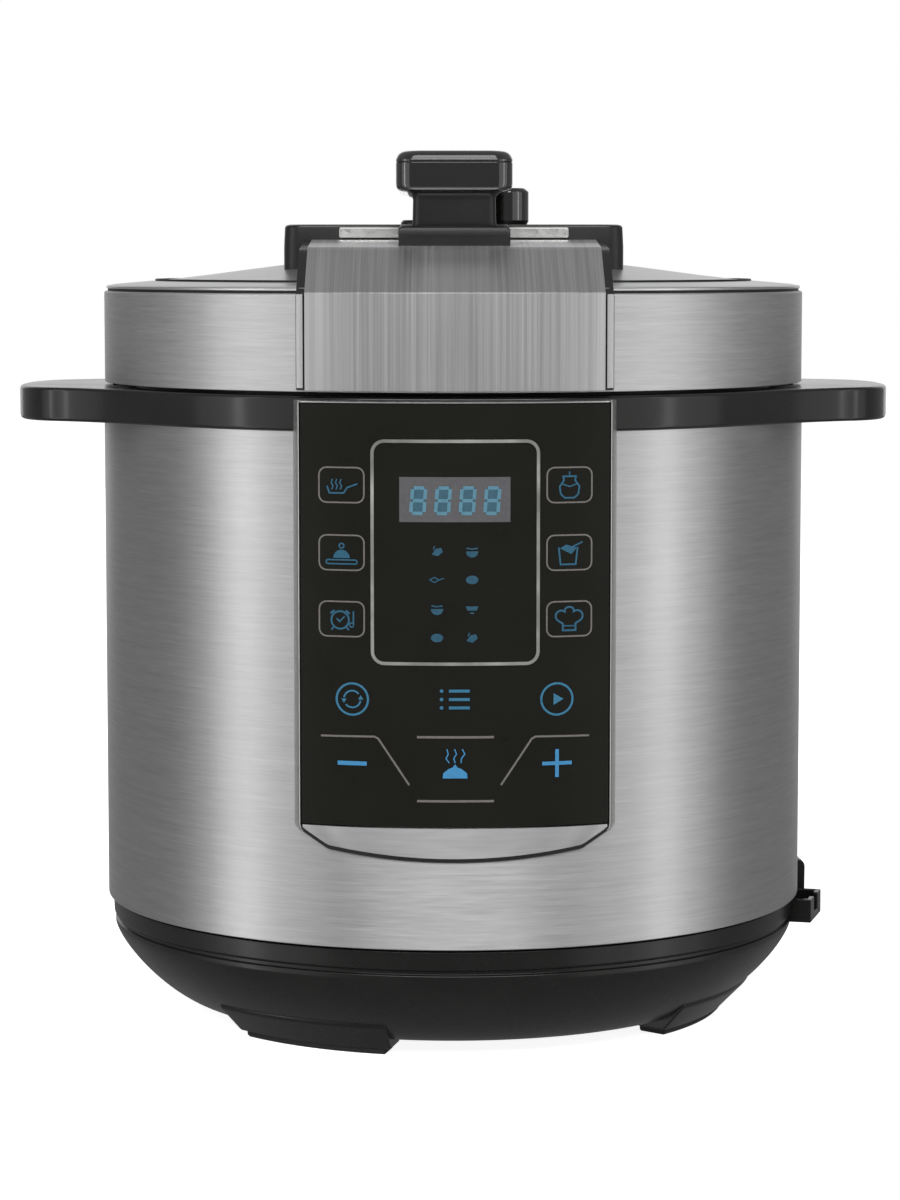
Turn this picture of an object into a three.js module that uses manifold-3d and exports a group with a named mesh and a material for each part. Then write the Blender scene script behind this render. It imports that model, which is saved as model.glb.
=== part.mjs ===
// Electric pressure cooker, 6 litre, as a bench assembly. Millimetres, +Z up, the front faces -Y.
// Everything is drawn about the cooking axis; the exported group then moves that axis back by AXIS_Y, so that
// the part's origin is the middle of its footprint on the surface it stands on.
import * as THREE from "three";
import { mergeVertices } from "three/addons/utils/BufferGeometryUtils.js";
import Module from "manifold-3d";

const wasm = await Module();
wasm.setup();

// ---------------------------------------------------------------- driving dimensions
const SEGMENTS = 48; // round a large body
const INNER_SEGMENTS = 36; // round a hidden body
const GAP = 0.3; // between pieces that sit against each other

const BODY_R = 135.5; // outside of the steel shell
const SHEET = 1; // shell and skirt sheet
const BASE_R = 133.8; // plastic base, just inside the shell
const BASE_TOP = 52;
const SHELL_BOTTOM = 45.3;
const SHELL_TOP = 232.2;
const FLOOR_Z = 5.5; // underside of the base floor
const FLOOR_T = 2.2;

const COLLAR_R = 136.8;
const COLLAR_Z = [230.8, 243.3];
const EAR_TIP = 168; // reach of each side handle from the axis
const EAR_Z = [230.2, 243.1];

const HOUSING_R = 117; // inside of the pressure housing
const HOUSING_T = 1.2;
const HOUSING_FLOOR = 69.5;
const FLANGE_Z = [251, 253.6];
const POT_R = 112; // outside of the removable pot
const POT_T = 1.5;
const POT_FLOOR = 93.6;
const POT_RIM = 254.5;

const TEETH = 6; // bayonet teeth on the housing and on the lid
const TOOTH_DEG = 27;

const SKIRT_Z = [245.2, 280.5];
const SKIRT_R = 135.2;
const FRONT_R = 139.5; // proud face of the lid's nose and the control panel
const FRONT_HALF = 56.3; // half their width
const FASCIA_HALF = 53.2;

const BRIDGE_HALF = 63.9;
const BRIDGE_Y = [-50, 88];
const BRIDGE_TOP = 304.3;
const HANDLE_Y = [-88, 22];
const HANDLE_TOP = 331;
const VALVE = [20.5, 42]; // pressure valve and its vent pipe
const FLOAT = [-12.5, 42];
const HANDLE_SCREWS = [[0, -70], [0, 13.4]];

const PANEL_Z = [90.4, 240.9]; // the black glass
const CHIN_BOTTOM = 78.2;
const INLET_DEG = 90; // mains inlet, at the back
const CUP_HALF = 31.5;
const CUP_Y = [140, 163];
const CUP_Z = [176, 221.3];
const AXIS_Y = -(CUP_Y[1] - FRONT_R) / 2;

// ---------------------------------------------------------------- materials
const material = (color, roughness, metalness) => new THREE.MeshStandardMaterial({ color, roughness, metalness });
const brushedSteel = material(0xa9abac, 0.34, 1);
const plainSteel = material(0xb8babb, 0.3, 1);
const castAluminium = material(0x9fa1a3, 0.5, 1);
const blackPlastic = material(0x1d1d1f, 0.38, 0);
const greyPlastic = material(0x3a3b3d, 0.5, 0);
const silverTrim = material(0x9c9c98, 0.3, 0.8);
const glossBlack = material(0x0f1011, 0.08, 0);
const rubber = material(0x161617, 0.85, 0);
const silicone = material(0xd9dbd8, 0.6, 0);
const clearPlastic = material(0x6a7075, 0.15, 0);
const greenBoard = material(0x1f5a35, 0.55, 0);
const brass = material(0xb5934a, 0.35, 1);

// ---------------------------------------------------------------- solids
// A closed geometry as a manifold-3d solid.
function solid(geometry) {
  const flat = geometry.index ? geometry.toNonIndexed() : geometry;
  const bare = new THREE.BufferGeometry().setAttribute("position", flat.getAttribute("position"));
  const merged = mergeVertices(bare, 1e-4);
  const corner = merged.index.array;
  const triVerts = [];
  for (let i = 0; i < corner.length; i += 3) {
    const [a, b, c] = [corner[i], corner[i + 1], corner[i + 2]];
    if (a !== b && b !== c && c !== a) triVerts.push(a, b, c);
  }
  return new wasm.Manifold(
    new wasm.Mesh({
      numProp: 3,
      vertProperties: merged.attributes.position.array,
      triVerts: new Uint32Array(triVerts),
    }),
  );
}

function geometryOf(made) {
  const mesh = made.getMesh();
  return new THREE.BufferGeometry()
    .setAttribute("position", new THREE.BufferAttribute(new Float32Array(mesh.vertProperties), 3))
    .setIndex(new THREE.BufferAttribute(new Uint32Array(mesh.triVerts), 1));
}

const join = (first, ...others) =>
  geometryOf(others.reduce((sum, other) => sum.add(solid(other)), solid(first)));
const cut = (first, ...tools) =>
  geometryOf(tools.reduce((left, tool) => left.subtract(solid(tool)), solid(first)));
const common = (first, second) => geometryOf(solid(first).intersect(solid(second)));

// A profile of [radius, height] points turned about the axis. A profile that leaves the axis also returns to it.
function revolve(profile, segments = SEGMENTS, [x, y] = [0, 0]) {
  const area = profile.reduce((sum, [r, z], i) => {
    const [r2, z2] = profile[(i + 1) % profile.length];
    return sum + r * z2 - r2 * z;
  }, 0);
  const ordered = area > 0 ? [...profile] : [...profile].reverse();
  if (!ordered.some(([r]) => r === 0)) ordered.push(ordered[0]);
  const points = ordered.map(([r, z]) => new THREE.Vector2(r, z));
  return new THREE.LatheGeometry(points, segments).rotateX(Math.PI / 2).translate(x, y, 0);
}

const tube = (inner, outer, z0, z1, at, segments) =>
  revolve([[inner, z0], [outer, z0], [outer, z1], [inner, z1]], segments, at);
const rod = (r, z0, z1, at, segments = 20) => revolve([[0, z0], [r, z0], [r, z1], [0, z1]], segments, at);

const hexNut = (bore, r, [z0, z1], at) => cut(rod(r, z0, z1, at, 6), rod(bore, z0 - 1, z1 + 1, at, 16));

function box([x0, x1], [y0, y1], [z0, z1]) {
  return new THREE.BoxGeometry(x1 - x0, y1 - y0, z1 - z0).translate((x0 + x1) / 2, (y0 + y1) / 2, (z0 + z1) / 2);
}

const outline = (points) => new THREE.Shape(points.map(([x, y]) => new THREE.Vector2(x, y)));
const extrude = (shape, depth, curveSegments) =>
  new THREE.ExtrudeGeometry(shape, { depth, bevelEnabled: false, curveSegments });

// A plan outline raised from z0 to z1.
const prism = (shape, [z0, z1], curveSegments = 4) => extrude(shape, z1 - z0, curveSegments).translate(0, 0, z0);

// A side-view outline of [y, z] points swept across the width.
const AXES = [new THREE.Vector3(1, 0, 0), new THREE.Vector3(0, 1, 0), new THREE.Vector3(0, 0, 1)];
function slab(points, [x0, x1]) {
  const basis = new THREE.Matrix4().makeBasis(AXES[1], AXES[2], AXES[0]);
  return extrude(outline(points), x1 - x0).applyMatrix4(basis).translate(x0, 0, 0);
}

// A front-view outline of [x, z] points swept from front to back.
function bar(shape, [y0, y1], curveSegments = 4) {
  const basis = new THREE.Matrix4().makeBasis(AXES[0], AXES[2], AXES[1].clone().negate());
  return extrude(shape, y1 - y0, curveSegments).applyMatrix4(basis).translate(0, y1, 0);
}

function roundedRectangle([x0, x1], [y0, y1], r) {
  const shape = new THREE.Shape();
  shape.moveTo(x0 + r, y0);
  shape.lineTo(x1 - r, y0);
  shape.absarc(x1 - r, y0 + r, r, -Math.PI / 2, 0);
  shape.absarc(x1 - r, y1 - r, r, 0, Math.PI / 2);
  shape.absarc(x0 + r, y1 - r, r, Math.PI / 2, Math.PI);
  shape.absarc(x0 + r, y0 + r, r, Math.PI, Math.PI * 1.5);
  return shape;
}

// Part of a ring between two radii, centred on an azimuth measured from +X.
function ringSector(inner, outer, centreDeg, widthDeg, zRange, curveSegments = 4) {
  const [from, to] = [centreDeg - widthDeg / 2, centreDeg + widthDeg / 2].map(THREE.MathUtils.degToRad);
  const shape = new THREE.Shape();
  shape.absarc(0, 0, outer, from, to, false);
  shape.absarc(0, 0, inner, to, from, true);
  return prism(shape, zRange, curveSegments);
}

// The part of a turned profile that lies within a half width at the front.
const frontOf = (profile, halfWidth, yRange = [-150, -45]) =>
  common(revolve(profile), box([-halfWidth, halfWidth], yRange, [60, 320]));

const polar = (r, deg) => [r * Math.cos(THREE.MathUtils.degToRad(deg)), r * Math.sin(THREE.MathUtils.degToRad(deg))];
const spread = (count, make) => Array.from({ length: count }, (_, i) => make(i));

// ---------------------------------------------------------------- assembly
const cooker = new THREE.Group();
cooker.position.y = AXIS_Y;

function part(name, geometry, look) {
  const mesh = new THREE.Mesh(geometry, look);
  mesh.name = name;
  cooker.add(mesh);
}

// ---------------------------------------------------------------- base
const FOOT_AZIMUTHS = [-120, -30, 60, 150];
const LEG_AZIMUTHS = [0, 120, 240];
const LEG_R = 78;
const BOSS_Z = [2.6, 14];
const BOARD_POSTS = [[-62, -28], [22, -28], [-62, 28], [22, 28]];
const SOCKET = { x: 142.4, y: -12, deg: -15, half: 12.5, z: [34, 43.2] };
const INLET = { reach: 145, half: 20, z: [16, 54.5], centreZ: 35, openHalf: [14.2, 10.7] };

// The bowl's curved side, from the straight upper wall down to the flat floor.
function bowlSide(offset) {
  const [topZ, floorR, exponent] = [35, 104, 2 / 1.35];
  return spread(7, (i) => {
    const turn = (Math.PI / 2) * (i / 6);
    return [
      floorR + (BASE_R - floorR) * Math.cos(turn) ** exponent - offset,
      topZ - (topZ - FLOOR_Z) * Math.sin(turn) ** exponent + offset * Math.sin(turn),
    ];
  });
}

// Pieces on the inlet's own axis, drawn along +X and then turned to its azimuth.
const atInlet = (geometry) => geometry.rotateZ(THREE.MathUtils.degToRad(INLET_DEG));

function accessorySocket() {
  const block = box([-16, 0], [-SOCKET.half, SOCKET.half], SOCKET.z);
  const pocket = box([-8.5, -2], [-SOCKET.half + 2, SOCKET.half - 2], [SOCKET.z[0] + 2, 60]);
  const slit = box([-4, 4], [-4.5, 4.5], [SOCKET.z[0] + 2, 60]);
  const turn = THREE.MathUtils.degToRad(SOCKET.deg);
  return [block, join(pocket, slit)].map((g) => g.rotateZ(turn).translate(SOCKET.x, SOCKET.y, 0));
}

// The socket's backing tab, which rises against the shell behind it.
function socketTab() {
  const [centreDeg, widthDeg, reach, top] = [9, 16, FRONT_R, 54.5];
  const low = ringSector(BASE_R - 1, reach, centreDeg, widthDeg, [36, SHELL_BOTTOM - GAP]);
  return join(low, ringSector(BODY_R + GAP, reach, centreDeg, widthDeg, [37, top]));
}

function baseShell() {
  const profile = [[0, FLOOR_Z], ...bowlSide(0).reverse(), [BASE_R, BASE_TOP]];
  profile.push([BASE_R - FLOOR_T, BASE_TOP], ...bowlSide(FLOOR_T), [0, FLOOR_Z + FLOOR_T]);
  const [lowZ, highZ] = BOSS_Z;
  const bossRing = revolve([[92, lowZ], [106.5, lowZ], [115, 12], [115, highZ], [92, highZ]]);
  const bosses = FOOT_AZIMUTHS.map((deg) => common(bossRing, ringSector(80, 130, deg, 35, [0, 20])));
  const posts = BOARD_POSTS.map((at) => rod(3.2, FLOOR_Z + 1, 20, at, 10));
  const [socket, pocket] = accessorySocket();
  const inletBlock = atInlet(box([124, INLET.reach], [-INLET.half, INLET.half], INLET.z));
  const inside = revolve([[0, FLOOR_Z + FLOOR_T], ...bowlSide(FLOOR_T).reverse(), [BASE_R - FLOOR_T, 60], [0, 60]]);
  const outer = join(cut(join(revolve(profile), socket, socketTab(), inletBlock, ...bosses), inside), ...posts);
  const inletHole = atInlet(
    box(
      [115, 150],
      [-INLET.openHalf[0] - GAP, INLET.openHalf[0] + GAP],
      [INLET.centreZ - INLET.openHalf[1] - GAP, INLET.centreZ + INLET.openHalf[1] + GAP],
    ),
  );
  const vents = spread(8, (i) => box([58, 72], [-1.6, 1.6], [0, 12]).rotateZ((i / 8) * 2 * Math.PI + 0.35));
  const screwHoles = LEG_AZIMUTHS.map((deg) => rod(2.4, 0, 12, polar(LEG_R, deg), 10));
  return cut(outer, pocket, inletHole, ...vents, ...screwHoles);
}
part("base_shell", baseShell(), blackPlastic);

FOOT_AZIMUTHS.forEach((deg, i) => {
  part(`foot_pad_${i + 1}`, ringSector(94, 106, deg, 31, [0, BOSS_Z[0]]), rubber);
});

LEG_AZIMUTHS.forEach((deg, i) => {
  const at = polar(LEG_R, deg);
  part(`support_leg_${i + 1}`, tube(2.4, 5, FLOOR_Z + FLOOR_T, HOUSING_FLOOR, at, 12), plainSteel);
  part(`base_screw_${i + 1}`, revolve([[0, 3], [4.2, 3], [4.2, FLOOR_Z], [2, FLOOR_Z], [2, 20], [0, 20]], 12, at), plainSteel);
});

// ---------------------------------------------------------------- mains inlet
const inletBody = () => {
  const [halfW, halfH] = INLET.openHalf;
  const z = INLET.centreZ;
  const body = box([121, INLET.reach + 1.2], [-halfW, halfW], [z - halfH, z + halfH]);
  const mouth = box([129, 160], [-12.2, 12.2], [z - 8.3, z + 8.3]);
  const slots = [-7, 0, 7].map((y) => box([110, 160], [y - 1.4, y + 1.4], [z - 2.6, z + 2.6]));
  return atInlet(cut(body, mouth, ...slots));
};
part("power_inlet", inletBody(), blackPlastic);
[["line", -7], ["earth", 0], ["neutral", 7]].forEach(([wire, y]) => {
  const z = INLET.centreZ;
  part(`inlet_pin_${wire}`, atInlet(box([115, 139.5], [y - 1, y + 1], [z - 2.2, z + 2.2])), brass);
});

// ---------------------------------------------------------------- shell, collar and side handles
function outerShell() {
  const band = tube(BODY_R - SHEET, BODY_R, SHELL_BOTTOM, SHELL_TOP);
  const inletNotch = atInlet(box([110, 160], [-INLET.half - 0.4, INLET.half + 0.4], [30, INLET.z[1] + 0.4]));
  const panelWindow = box([-49.5, 49.5], [-150, -100], [95, 225]);
  return cut(band, inletNotch, panelWindow);
}
part("outer_shell", outerShell(), brushedSteel);

function ear(side) {
  const shape = new THREE.Shape();
  const [rootX, rootY, kneeX, kneeY, bowY] = [118, 62, 150, 46, 38];
  shape.moveTo(rootX, -rootY);
  shape.lineTo(kneeX, -kneeY);
  shape.quadraticCurveTo(EAR_TIP, -bowY, EAR_TIP, 0);
  shape.quadraticCurveTo(EAR_TIP, bowY, kneeX, kneeY);
  shape.lineTo(rootX, rootY);
  const grip = new THREE.Shape();
  grip.moveTo(rootX, -rootY + 5);
  grip.lineTo(kneeX - 1.5, -kneeY + 4.2);
  grip.quadraticCurveTo(EAR_TIP - 3.2, -bowY + 3.5, EAR_TIP - 3.2, 0);
  grip.quadraticCurveTo(EAR_TIP - 3.2, bowY - 3.5, kneeX - 1.5, kneeY - 4.2);
  grip.lineTo(rootX, rootY - 5);
  const body = prism(shape, EAR_Z, 8);
  const recess = cut(prism(grip, [EAR_Z[0] - 5, EAR_Z[1] - 3], 8), rod(COLLAR_R + 0.6, 200, 260, [0, 0], SEGMENTS));
  return cut(body, recess).rotateZ(side > 0 ? 0 : Math.PI);
}

function collar() {
  const [z0, z1] = COLLAR_Z;
  const profile = [
    [COLLAR_R - 1, z0], [COLLAR_R, z0], [COLLAR_R, z1], [131.6, z1], [131, 238.6], [123.6, 238.6],
    [122.6, 250.6], [120, 250.6], [120, 228], [122, 228], [122, 236.4], [133.9, 236.4], [133.9, 232.6],
    [COLLAR_R - 1, 232.6],
  ];
  const bore = revolve([[0, 200], [COLLAR_R - 0.8, 200], [COLLAR_R - 0.8, 232.8], [134, 232.8], [134, 260], [0, 260]]);
  return join(revolve(profile), cut(ear(1), bore), cut(ear(-1), bore));
}
part("collar", collar(), blackPlastic);

// ---------------------------------------------------------------- pressure housing, heater and pot
const teeth = (inner, outer, zRange) =>
  spread(TEETH, (i) => ringSector(inner, outer, 90 + (i * 360) / TEETH, TOOTH_DEG, zRange, 3));

function innerHousing() {
  const outer = HOUSING_R + HOUSING_T;
  const floorTop = HOUSING_FLOOR + 1.5;
  const profile = [
    [14, HOUSING_FLOOR], [112, HOUSING_FLOOR], [outer, 76], [outer, FLANGE_Z[0]], [121.9, FLANGE_Z[0]],
    [121.9, FLANGE_Z[1]], [HOUSING_R, FLANGE_Z[1]], [HOUSING_R, 76.5], [111.5, floorTop], [14, floorTop],
  ];
  return join(revolve(profile), ...teeth(121, 127.6, FLANGE_Z));
}
part("inner_housing", innerHousing(), plainSteel);

const HEATER_TOP = POT_FLOOR - GAP;
part(
  "heating_plate",
  revolve([[14, 71.3], [92, 71.3], [98, 75], [98, 90], [93, HEATER_TOP], [14, HEATER_TOP]], INNER_SEGMENTS),
  castAluminium,
);

part(
  "inner_pot",
  revolve(
    [
      [0, POT_FLOOR], [104, POT_FLOOR], [POT_R, 101], [POT_R, 253], [116.2, 253], [116.2, POT_RIM],
      [POT_R - POT_T, POT_RIM], [POT_R - POT_T, 101.6], [103.4, POT_FLOOR + POT_T], [0, POT_FLOOR + POT_T],
    ],
    INNER_SEGMENTS,
  ),
  plainSteel,
);

// ---------------------------------------------------------------- spring-loaded temperature sensor
const SPRING = { z: [68.9, 89], r: 8, wire: 0.7, turns: 4 };

class Helix extends THREE.Curve {
  getPoint(t) {
    const turn = 2 * Math.PI * SPRING.turns * t;
    const z = SPRING.z[0] + (SPRING.z[1] - SPRING.z[0]) * t;
    return new THREE.Vector3(SPRING.r * Math.cos(turn), SPRING.r * Math.sin(turn), z);
  }
}

function sensorSpring() {
  const wire = new THREE.Shape().absarc(0, 0, SPRING.wire, 0, 2 * Math.PI);
  return new THREE.ExtrudeGeometry(wire, {
    steps: SPRING.turns * 10,
    extrudePath: new Helix(),
    bevelEnabled: false,
    curveSegments: 3,
  });
}
part("sensor_spring", sensorSpring(), plainSteel);
part(
  "sensor_cap",
  revolve([[0, 90], [10.5, 90], [10.5, 86], [12.3, 86], [12.3, 92.2], [11.3, 93.2], [0, 93.2]], 24),
  castAluminium,
);
part(
  "sensor_bracket",
  revolve([[0, 66], [20, 66], [20, 69.2], [13.2, 69.2], [13.2, 74], [11.8, 74], [11.8, 68], [0, 68]], 24),
  plainSteel,
);

// ---------------------------------------------------------------- protection and electronics under the housing
part("thermostat", rod(8, 61, HOUSING_FLOOR - GAP, [48, -40], 16), brass);
part("thermal_fuse", box([-52, -28], [38, 43], [64, HOUSING_FLOOR - GAP]), silicone);
part("pressure_switch", box([-12, 12], [44, 60], [52, 64]), greyPlastic);
part("pressure_leaf", slab([[38, 64.4], [72, 64.4], [72, 65.6], [56, 69], [48, 69], [38, 65.6]], [-7, 7]), plainSteel);

const BOARD_Z = [20, 21.6];
part("power_board", box([-68, 28], [-34, 34], BOARD_Z), greenBoard);
part("power_relay", box([-30, -12], [-24, 6], [BOARD_Z[1], 42]), greyPlastic);

// ---------------------------------------------------------------- control panel
function panelHousing() {
  const flange = frontOf([[137.1, 92], [138, 92], [138, 240.2], [137.1, 240.2]], FRONT_HALF - 1.6);
  const tray = common(
    box([-48.5, 48.5], [-150, -121.5], [97, 223]),
    revolve([[0, 90], [137.6, 90], [137.6, 230], [0, 230]]),
  );
  const hollow = box([-46.5, 46.5], [-150, -123.5], [99, 221]);
  return cut(join(flange, tray), hollow);
}
part("panel_housing", panelHousing(), blackPlastic);

function panelFrame() {
  const [bottom, top] = [88.4, PANEL_Z[1] + 1];
  const [onShell, onCollar, step] = [BODY_R + GAP, COLLAR_R + GAP, COLLAR_Z[0] - GAP];
  const profile = [[onShell, bottom], [FRONT_R, bottom], [FRONT_R, top], [onCollar, top], [onCollar, step], [onShell, step]];
  const band = frontOf(profile, FRONT_HALF);
  return cut(band, box([-FRONT_HALF + 1, FRONT_HALF - 1], [-150, -100], [60, PANEL_Z[1] + 0.1]));
}
part("panel_frame", panelFrame(), silverTrim);

part(
  "panel_glass",
  frontOf([[138.3, PANEL_Z[0]], [139.2, PANEL_Z[0]], [139.2, PANEL_Z[1]], [138.3, PANEL_Z[1]]], FRONT_HALF - 1.1),
  glossBlack,
);

function panelChin() {
  const wedge = revolve([[135.8, 77], [136.3, 77], [138.9, 90.1], [137.4, 90.1], [136.6, 88], [135.8, 88]]);
  const shape = new THREE.Shape();
  const [wide, narrow] = [54.6, 45.6];
  shape.moveTo(-wide, 92);
  shape.lineTo(-wide, 88.2);
  shape.lineTo(-narrow, 82.3);
  shape.quadraticCurveTo(0, 2 * CHIN_BOTTOM - 82.3, narrow, 82.3);
  shape.lineTo(wide, 88.2);
  shape.lineTo(wide, 92);
  return common(wedge, bar(shape, [-150, -100], 8));
}
part("panel_chin", panelChin(), brushedSteel);

part("control_board", box([-44, 44], [-129, -127.4], [101, 219]), greenBoard);
part("display_module", box([-21, 21], [-135.8, -129 - GAP], [193, 214]), greyPlastic);

// ---------------------------------------------------------------- condensate cup at the back
function cupBracket() {
  const plate = box([-37, 37], [118, 138], [205, 228]);
  const roof = cut(box([-37, 37], [132, 158], [222.2, 224.6]), rod(5, 220, 226, [0, 148], 12));
  const rails = [-1, 1].map((side) => {
    const x = [32.8 * side, 37 * side].sort((a, b) => a - b);
    return box(x, [132, 158], [215.5, 218.8]);
  });
  const clear = rod(BODY_R + GAP, 190, 240, [0, 0], SEGMENTS);
  return cut(join(plate, roof, ...rails), clear);
}
part("cup_bracket", cupBracket(), blackPlastic);

function condensateCup() {
  const [z0, z1] = CUP_Z;
  const wall = 1.8;
  const body = prism(roundedRectangle([-CUP_HALF, CUP_HALF], CUP_Y, 6), [z0, z1], 3);
  const rim = box([-36.6, 36.6], [CUP_Y[0] + 1, 157], [z1 - 2, z1]);
  const inside = [CUP_Y[0] + wall, CUP_Y[1] - wall];
  const hollow = prism(roundedRectangle([-CUP_HALF + wall, CUP_HALF - wall], inside, 4.2), [z0 + wall, 240], 3);
  return cut(join(body, rim), hollow);
}
part("condensate_cup", condensateCup(), clearPlastic);

// ---------------------------------------------------------------- lid: pressure dome, frame, skirt
const DOME_TOP = [[0, 291.5], [66, 289.2], [95, 285.4], [114, 283.6]];
const topHoles = () => [
  rod(3.9, 260, 310, VALVE, 12),
  rod(3.5, 260, 310, FLOAT, 12),
  ...HANDLE_SCREWS.map((at) => rod(2.4, 260, 310, at, 10)),
];

function lidDome() {
  const profile = [
    ...DOME_TOP, [114.6, 283], [114.6, 269.2], [130.6, 268.2], [130.6, 246.6], [128.8, 246.6], [128.8, 266.6],
    [112.8, 267.4], [112.8, 282.1], [95, 284.2], [66, 287.7], [0, 289.6],
  ];
  return cut(join(revolve(profile), ...teeth(123.4, 129.6, [246.6, 249.8])), ...topHoles());
}
part("lid_dome", lidDome(), brushedSteel);

// The lid's outer edge is cut down under the nose, which comes over it there.
const NOTCH = { half: 53.4, y: [-150, -118], z: [277.5, 300] };
const edgeNotch = () =>
  box([-NOTCH.half - GAP, NOTCH.half + GAP], [NOTCH.y[0], NOTCH.y[1] + GAP], [NOTCH.z[0] - GAP, NOTCH.z[1]]);

const LID_FRAME = [
  [131.4, 262], [133.9, 262], [133.9, 280.6], [133.2, 280.6], [133.2, 279], [115.2, 282.3], [115.2, 280.3],
  [131.4, 277.3],
];
const TOP_RING = [[115.2, 283.6], [115.2, 282.6], [132.9, 279.4], [132.9, 280.4]];
const SKIRT = [
  [SKIRT_R - SHEET, SKIRT_Z[0]], [SKIRT_R, SKIRT_Z[0]], [SKIRT_R, 279.7], [SKIRT_R - 0.5, SKIRT_Z[1]],
  [SKIRT_R - SHEET, SKIRT_Z[1]],
];
part("lid_frame", cut(revolve(LID_FRAME), edgeNotch()), blackPlastic);
part("lid_top_ring", cut(revolve(TOP_RING), edgeNotch()), brushedSteel);
part("lid_skirt", cut(revolve(SKIRT), edgeNotch()), brushedSteel);

// ---------------------------------------------------------------- lid: nose, fascia and bridge
// Everything at or under the lid's upper surface, grown by a gap.
const LID_SURFACE = [...DOME_TOP, [116, 283.8], [133, 280.9], [SKIRT_R, 280.9]].map(([r, z]) => [r, z + GAP]);
function lidBelow() {
  const [edgeR, edgeZ] = LID_SURFACE.at(-1);
  return revolve([...LID_SURFACE, [edgeR + GAP, edgeZ], [edgeR + GAP, 240], [0, 240]]);
}
const NOSE_TOP = [[138.4, 279], [94.8, 294.3], [50, 297.4]];

function noseHousing() {
  const front = [[SKIRT_R + 0.5, 245.6], [138.4, 245.6]];
  const whole = [...front, ...NOSE_TOP, [50, 280], [SKIRT_R + 0.5, 280]];
  const skin = [...front, ...NOSE_TOP, [50, 290], [54, 290], [54, 295.1], [94.4, 292.2], [112, 286], [SKIRT_R + 0.5, 277]];
  const cheeks = cut(frontOf(whole, FRONT_HALF, [-150, -52]), box([-FASCIA_HALF, FASCIA_HALF], [-150, 0], [200, 320]));
  const back = box([-FRONT_HALF, FRONT_HALF], [-56, -52], [280, 297]);
  const wall = common(back, revolve(whole));
  const made = join(frontOf(skin, FRONT_HALF, [-150, -52]), cheeks, wall);
  const lid = cut(lidBelow(), box([-NOTCH.half, NOTCH.half], NOTCH.y, NOTCH.z));
  return cut(made, lid, ...topHoles());
}
part("nose_housing", noseHousing(), greyPlastic);

function fasciaPlate() {
  const t = 0.8;
  const profile = [
    [FRONT_R - t, 246], [FRONT_R, 246], [FRONT_R, 279.7], [95, 295.4], [50, 298.6], [50, 298.6 - t], [95, 295.4 - t],
    [FRONT_R - t, 279.7 - t / 2],
  ];
  return cut(frontOf(profile, FASCIA_HALF, [-150, -52]), ...topHoles());
}
part("fascia_plate", fasciaPlate(), brushedSteel);

function bridgeCover() {
  const wall = 2.4;
  const [y0, y1] = BRIDGE_Y;
  const block = prism(roundedRectangle([-BRIDGE_HALF, BRIDGE_HALF], BRIDGE_Y, 16), [270, BRIDGE_TOP], 5);
  const inside = roundedRectangle([-BRIDGE_HALF + wall, BRIDGE_HALF - wall], [y0 + wall, y1 - wall], 14);
  const hollow = prism(inside, [260, BRIDGE_TOP - wall], 5);
  const holes = [rod(6, 260, 310, VALVE, 16), rod(5.4, 260, 310, FLOAT, 16), rod(2.4, 260, 310, HANDLE_SCREWS[1], 10)];
  return cut(block, hollow, lidBelow(), ...holes);
}
part("bridge_cover", bridgeCover(), blackPlastic);
part("trim_strip", box([-43, 43], [BRIDGE_Y[0] - 0.8, BRIDGE_Y[0]], [299.4, 303]), silverTrim);

// ---------------------------------------------------------------- lid: handle
const CAP_Z = 327.4;
function lidHandle() {
  const [y0, y1] = HANDLE_Y;
  const plinth = slab([[y0 + 1, 296.3], [y0 + 1, 304.6], [-51.2, 304.6], [-51.2, 298.9]], [-21.7, 21.7]);
  const neck = prism(roundedRectangle([-15.9, 15.9], [y0 + 4, y1 - 4], 6), [304.6, 318], 4);
  const grip = new THREE.Shape();
  grip.moveTo(-21.4, CAP_Z);
  grip.lineTo(-21.4, 319.5);
  grip.quadraticCurveTo(-21.2, 317.4, -18.6, 316.4);
  grip.quadraticCurveTo(-16.2, 315.4, -15.9, 312);
  grip.lineTo(15.9, 312);
  grip.quadraticCurveTo(16.2, 315.4, 18.6, 316.4);
  grip.quadraticCurveTo(21.2, 317.4, 21.4, 319.5);
  grip.lineTo(21.4, CAP_Z);
  const plan = prism(roundedRectangle([-21.4, 21.4], HANDLE_Y, 12), [300, 335], 5);
  const holes = HANDLE_SCREWS.map((at) => rod(2.2, 290, 313, at, 10));
  return cut(join(plinth, neck, common(bar(grip, HANDLE_Y, 4), plan)), ...holes);
}
part("lid_handle", lidHandle(), glossBlack);
part(
  "handle_cap",
  prism(roundedRectangle([-20.4, 20.4], [HANDLE_Y[0] + 1, HANDLE_Y[1] - 1], 11), [CAP_Z, HANDLE_TOP], 5),
  glossBlack,
);
HANDLE_SCREWS.forEach((at, i) => {
  const head = [283.4, 286.6];
  part(`handle_screw_${i + 1}`, revolve([[0, head[0]], [4, head[0]], [4, head[1]], [1.9, head[1]], [1.9, 312], [0, 312]], 10, at), plainSteel);
});

// ---------------------------------------------------------------- lid: valves
part(
  "vent_pipe",
  revolve([[1.5, 279.6], [3.5, 279.6], [3.5, 290.8], [7, 290.8], [7, 292.4], [3.5, 292.4], [3.5, 313], [1.5, 313]], 16, VALVE),
  plainSteel,
);
part("vent_nut", hexNut(3.8, 6.6, [284, 287.4], VALVE), plainSteel);
part("vent_filter", revolve([[0, 277], [11, 277], [11, 287], [10, 287], [10, 278.2], [0, 278.2]], 20, VALVE), plainSteel);

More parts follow.
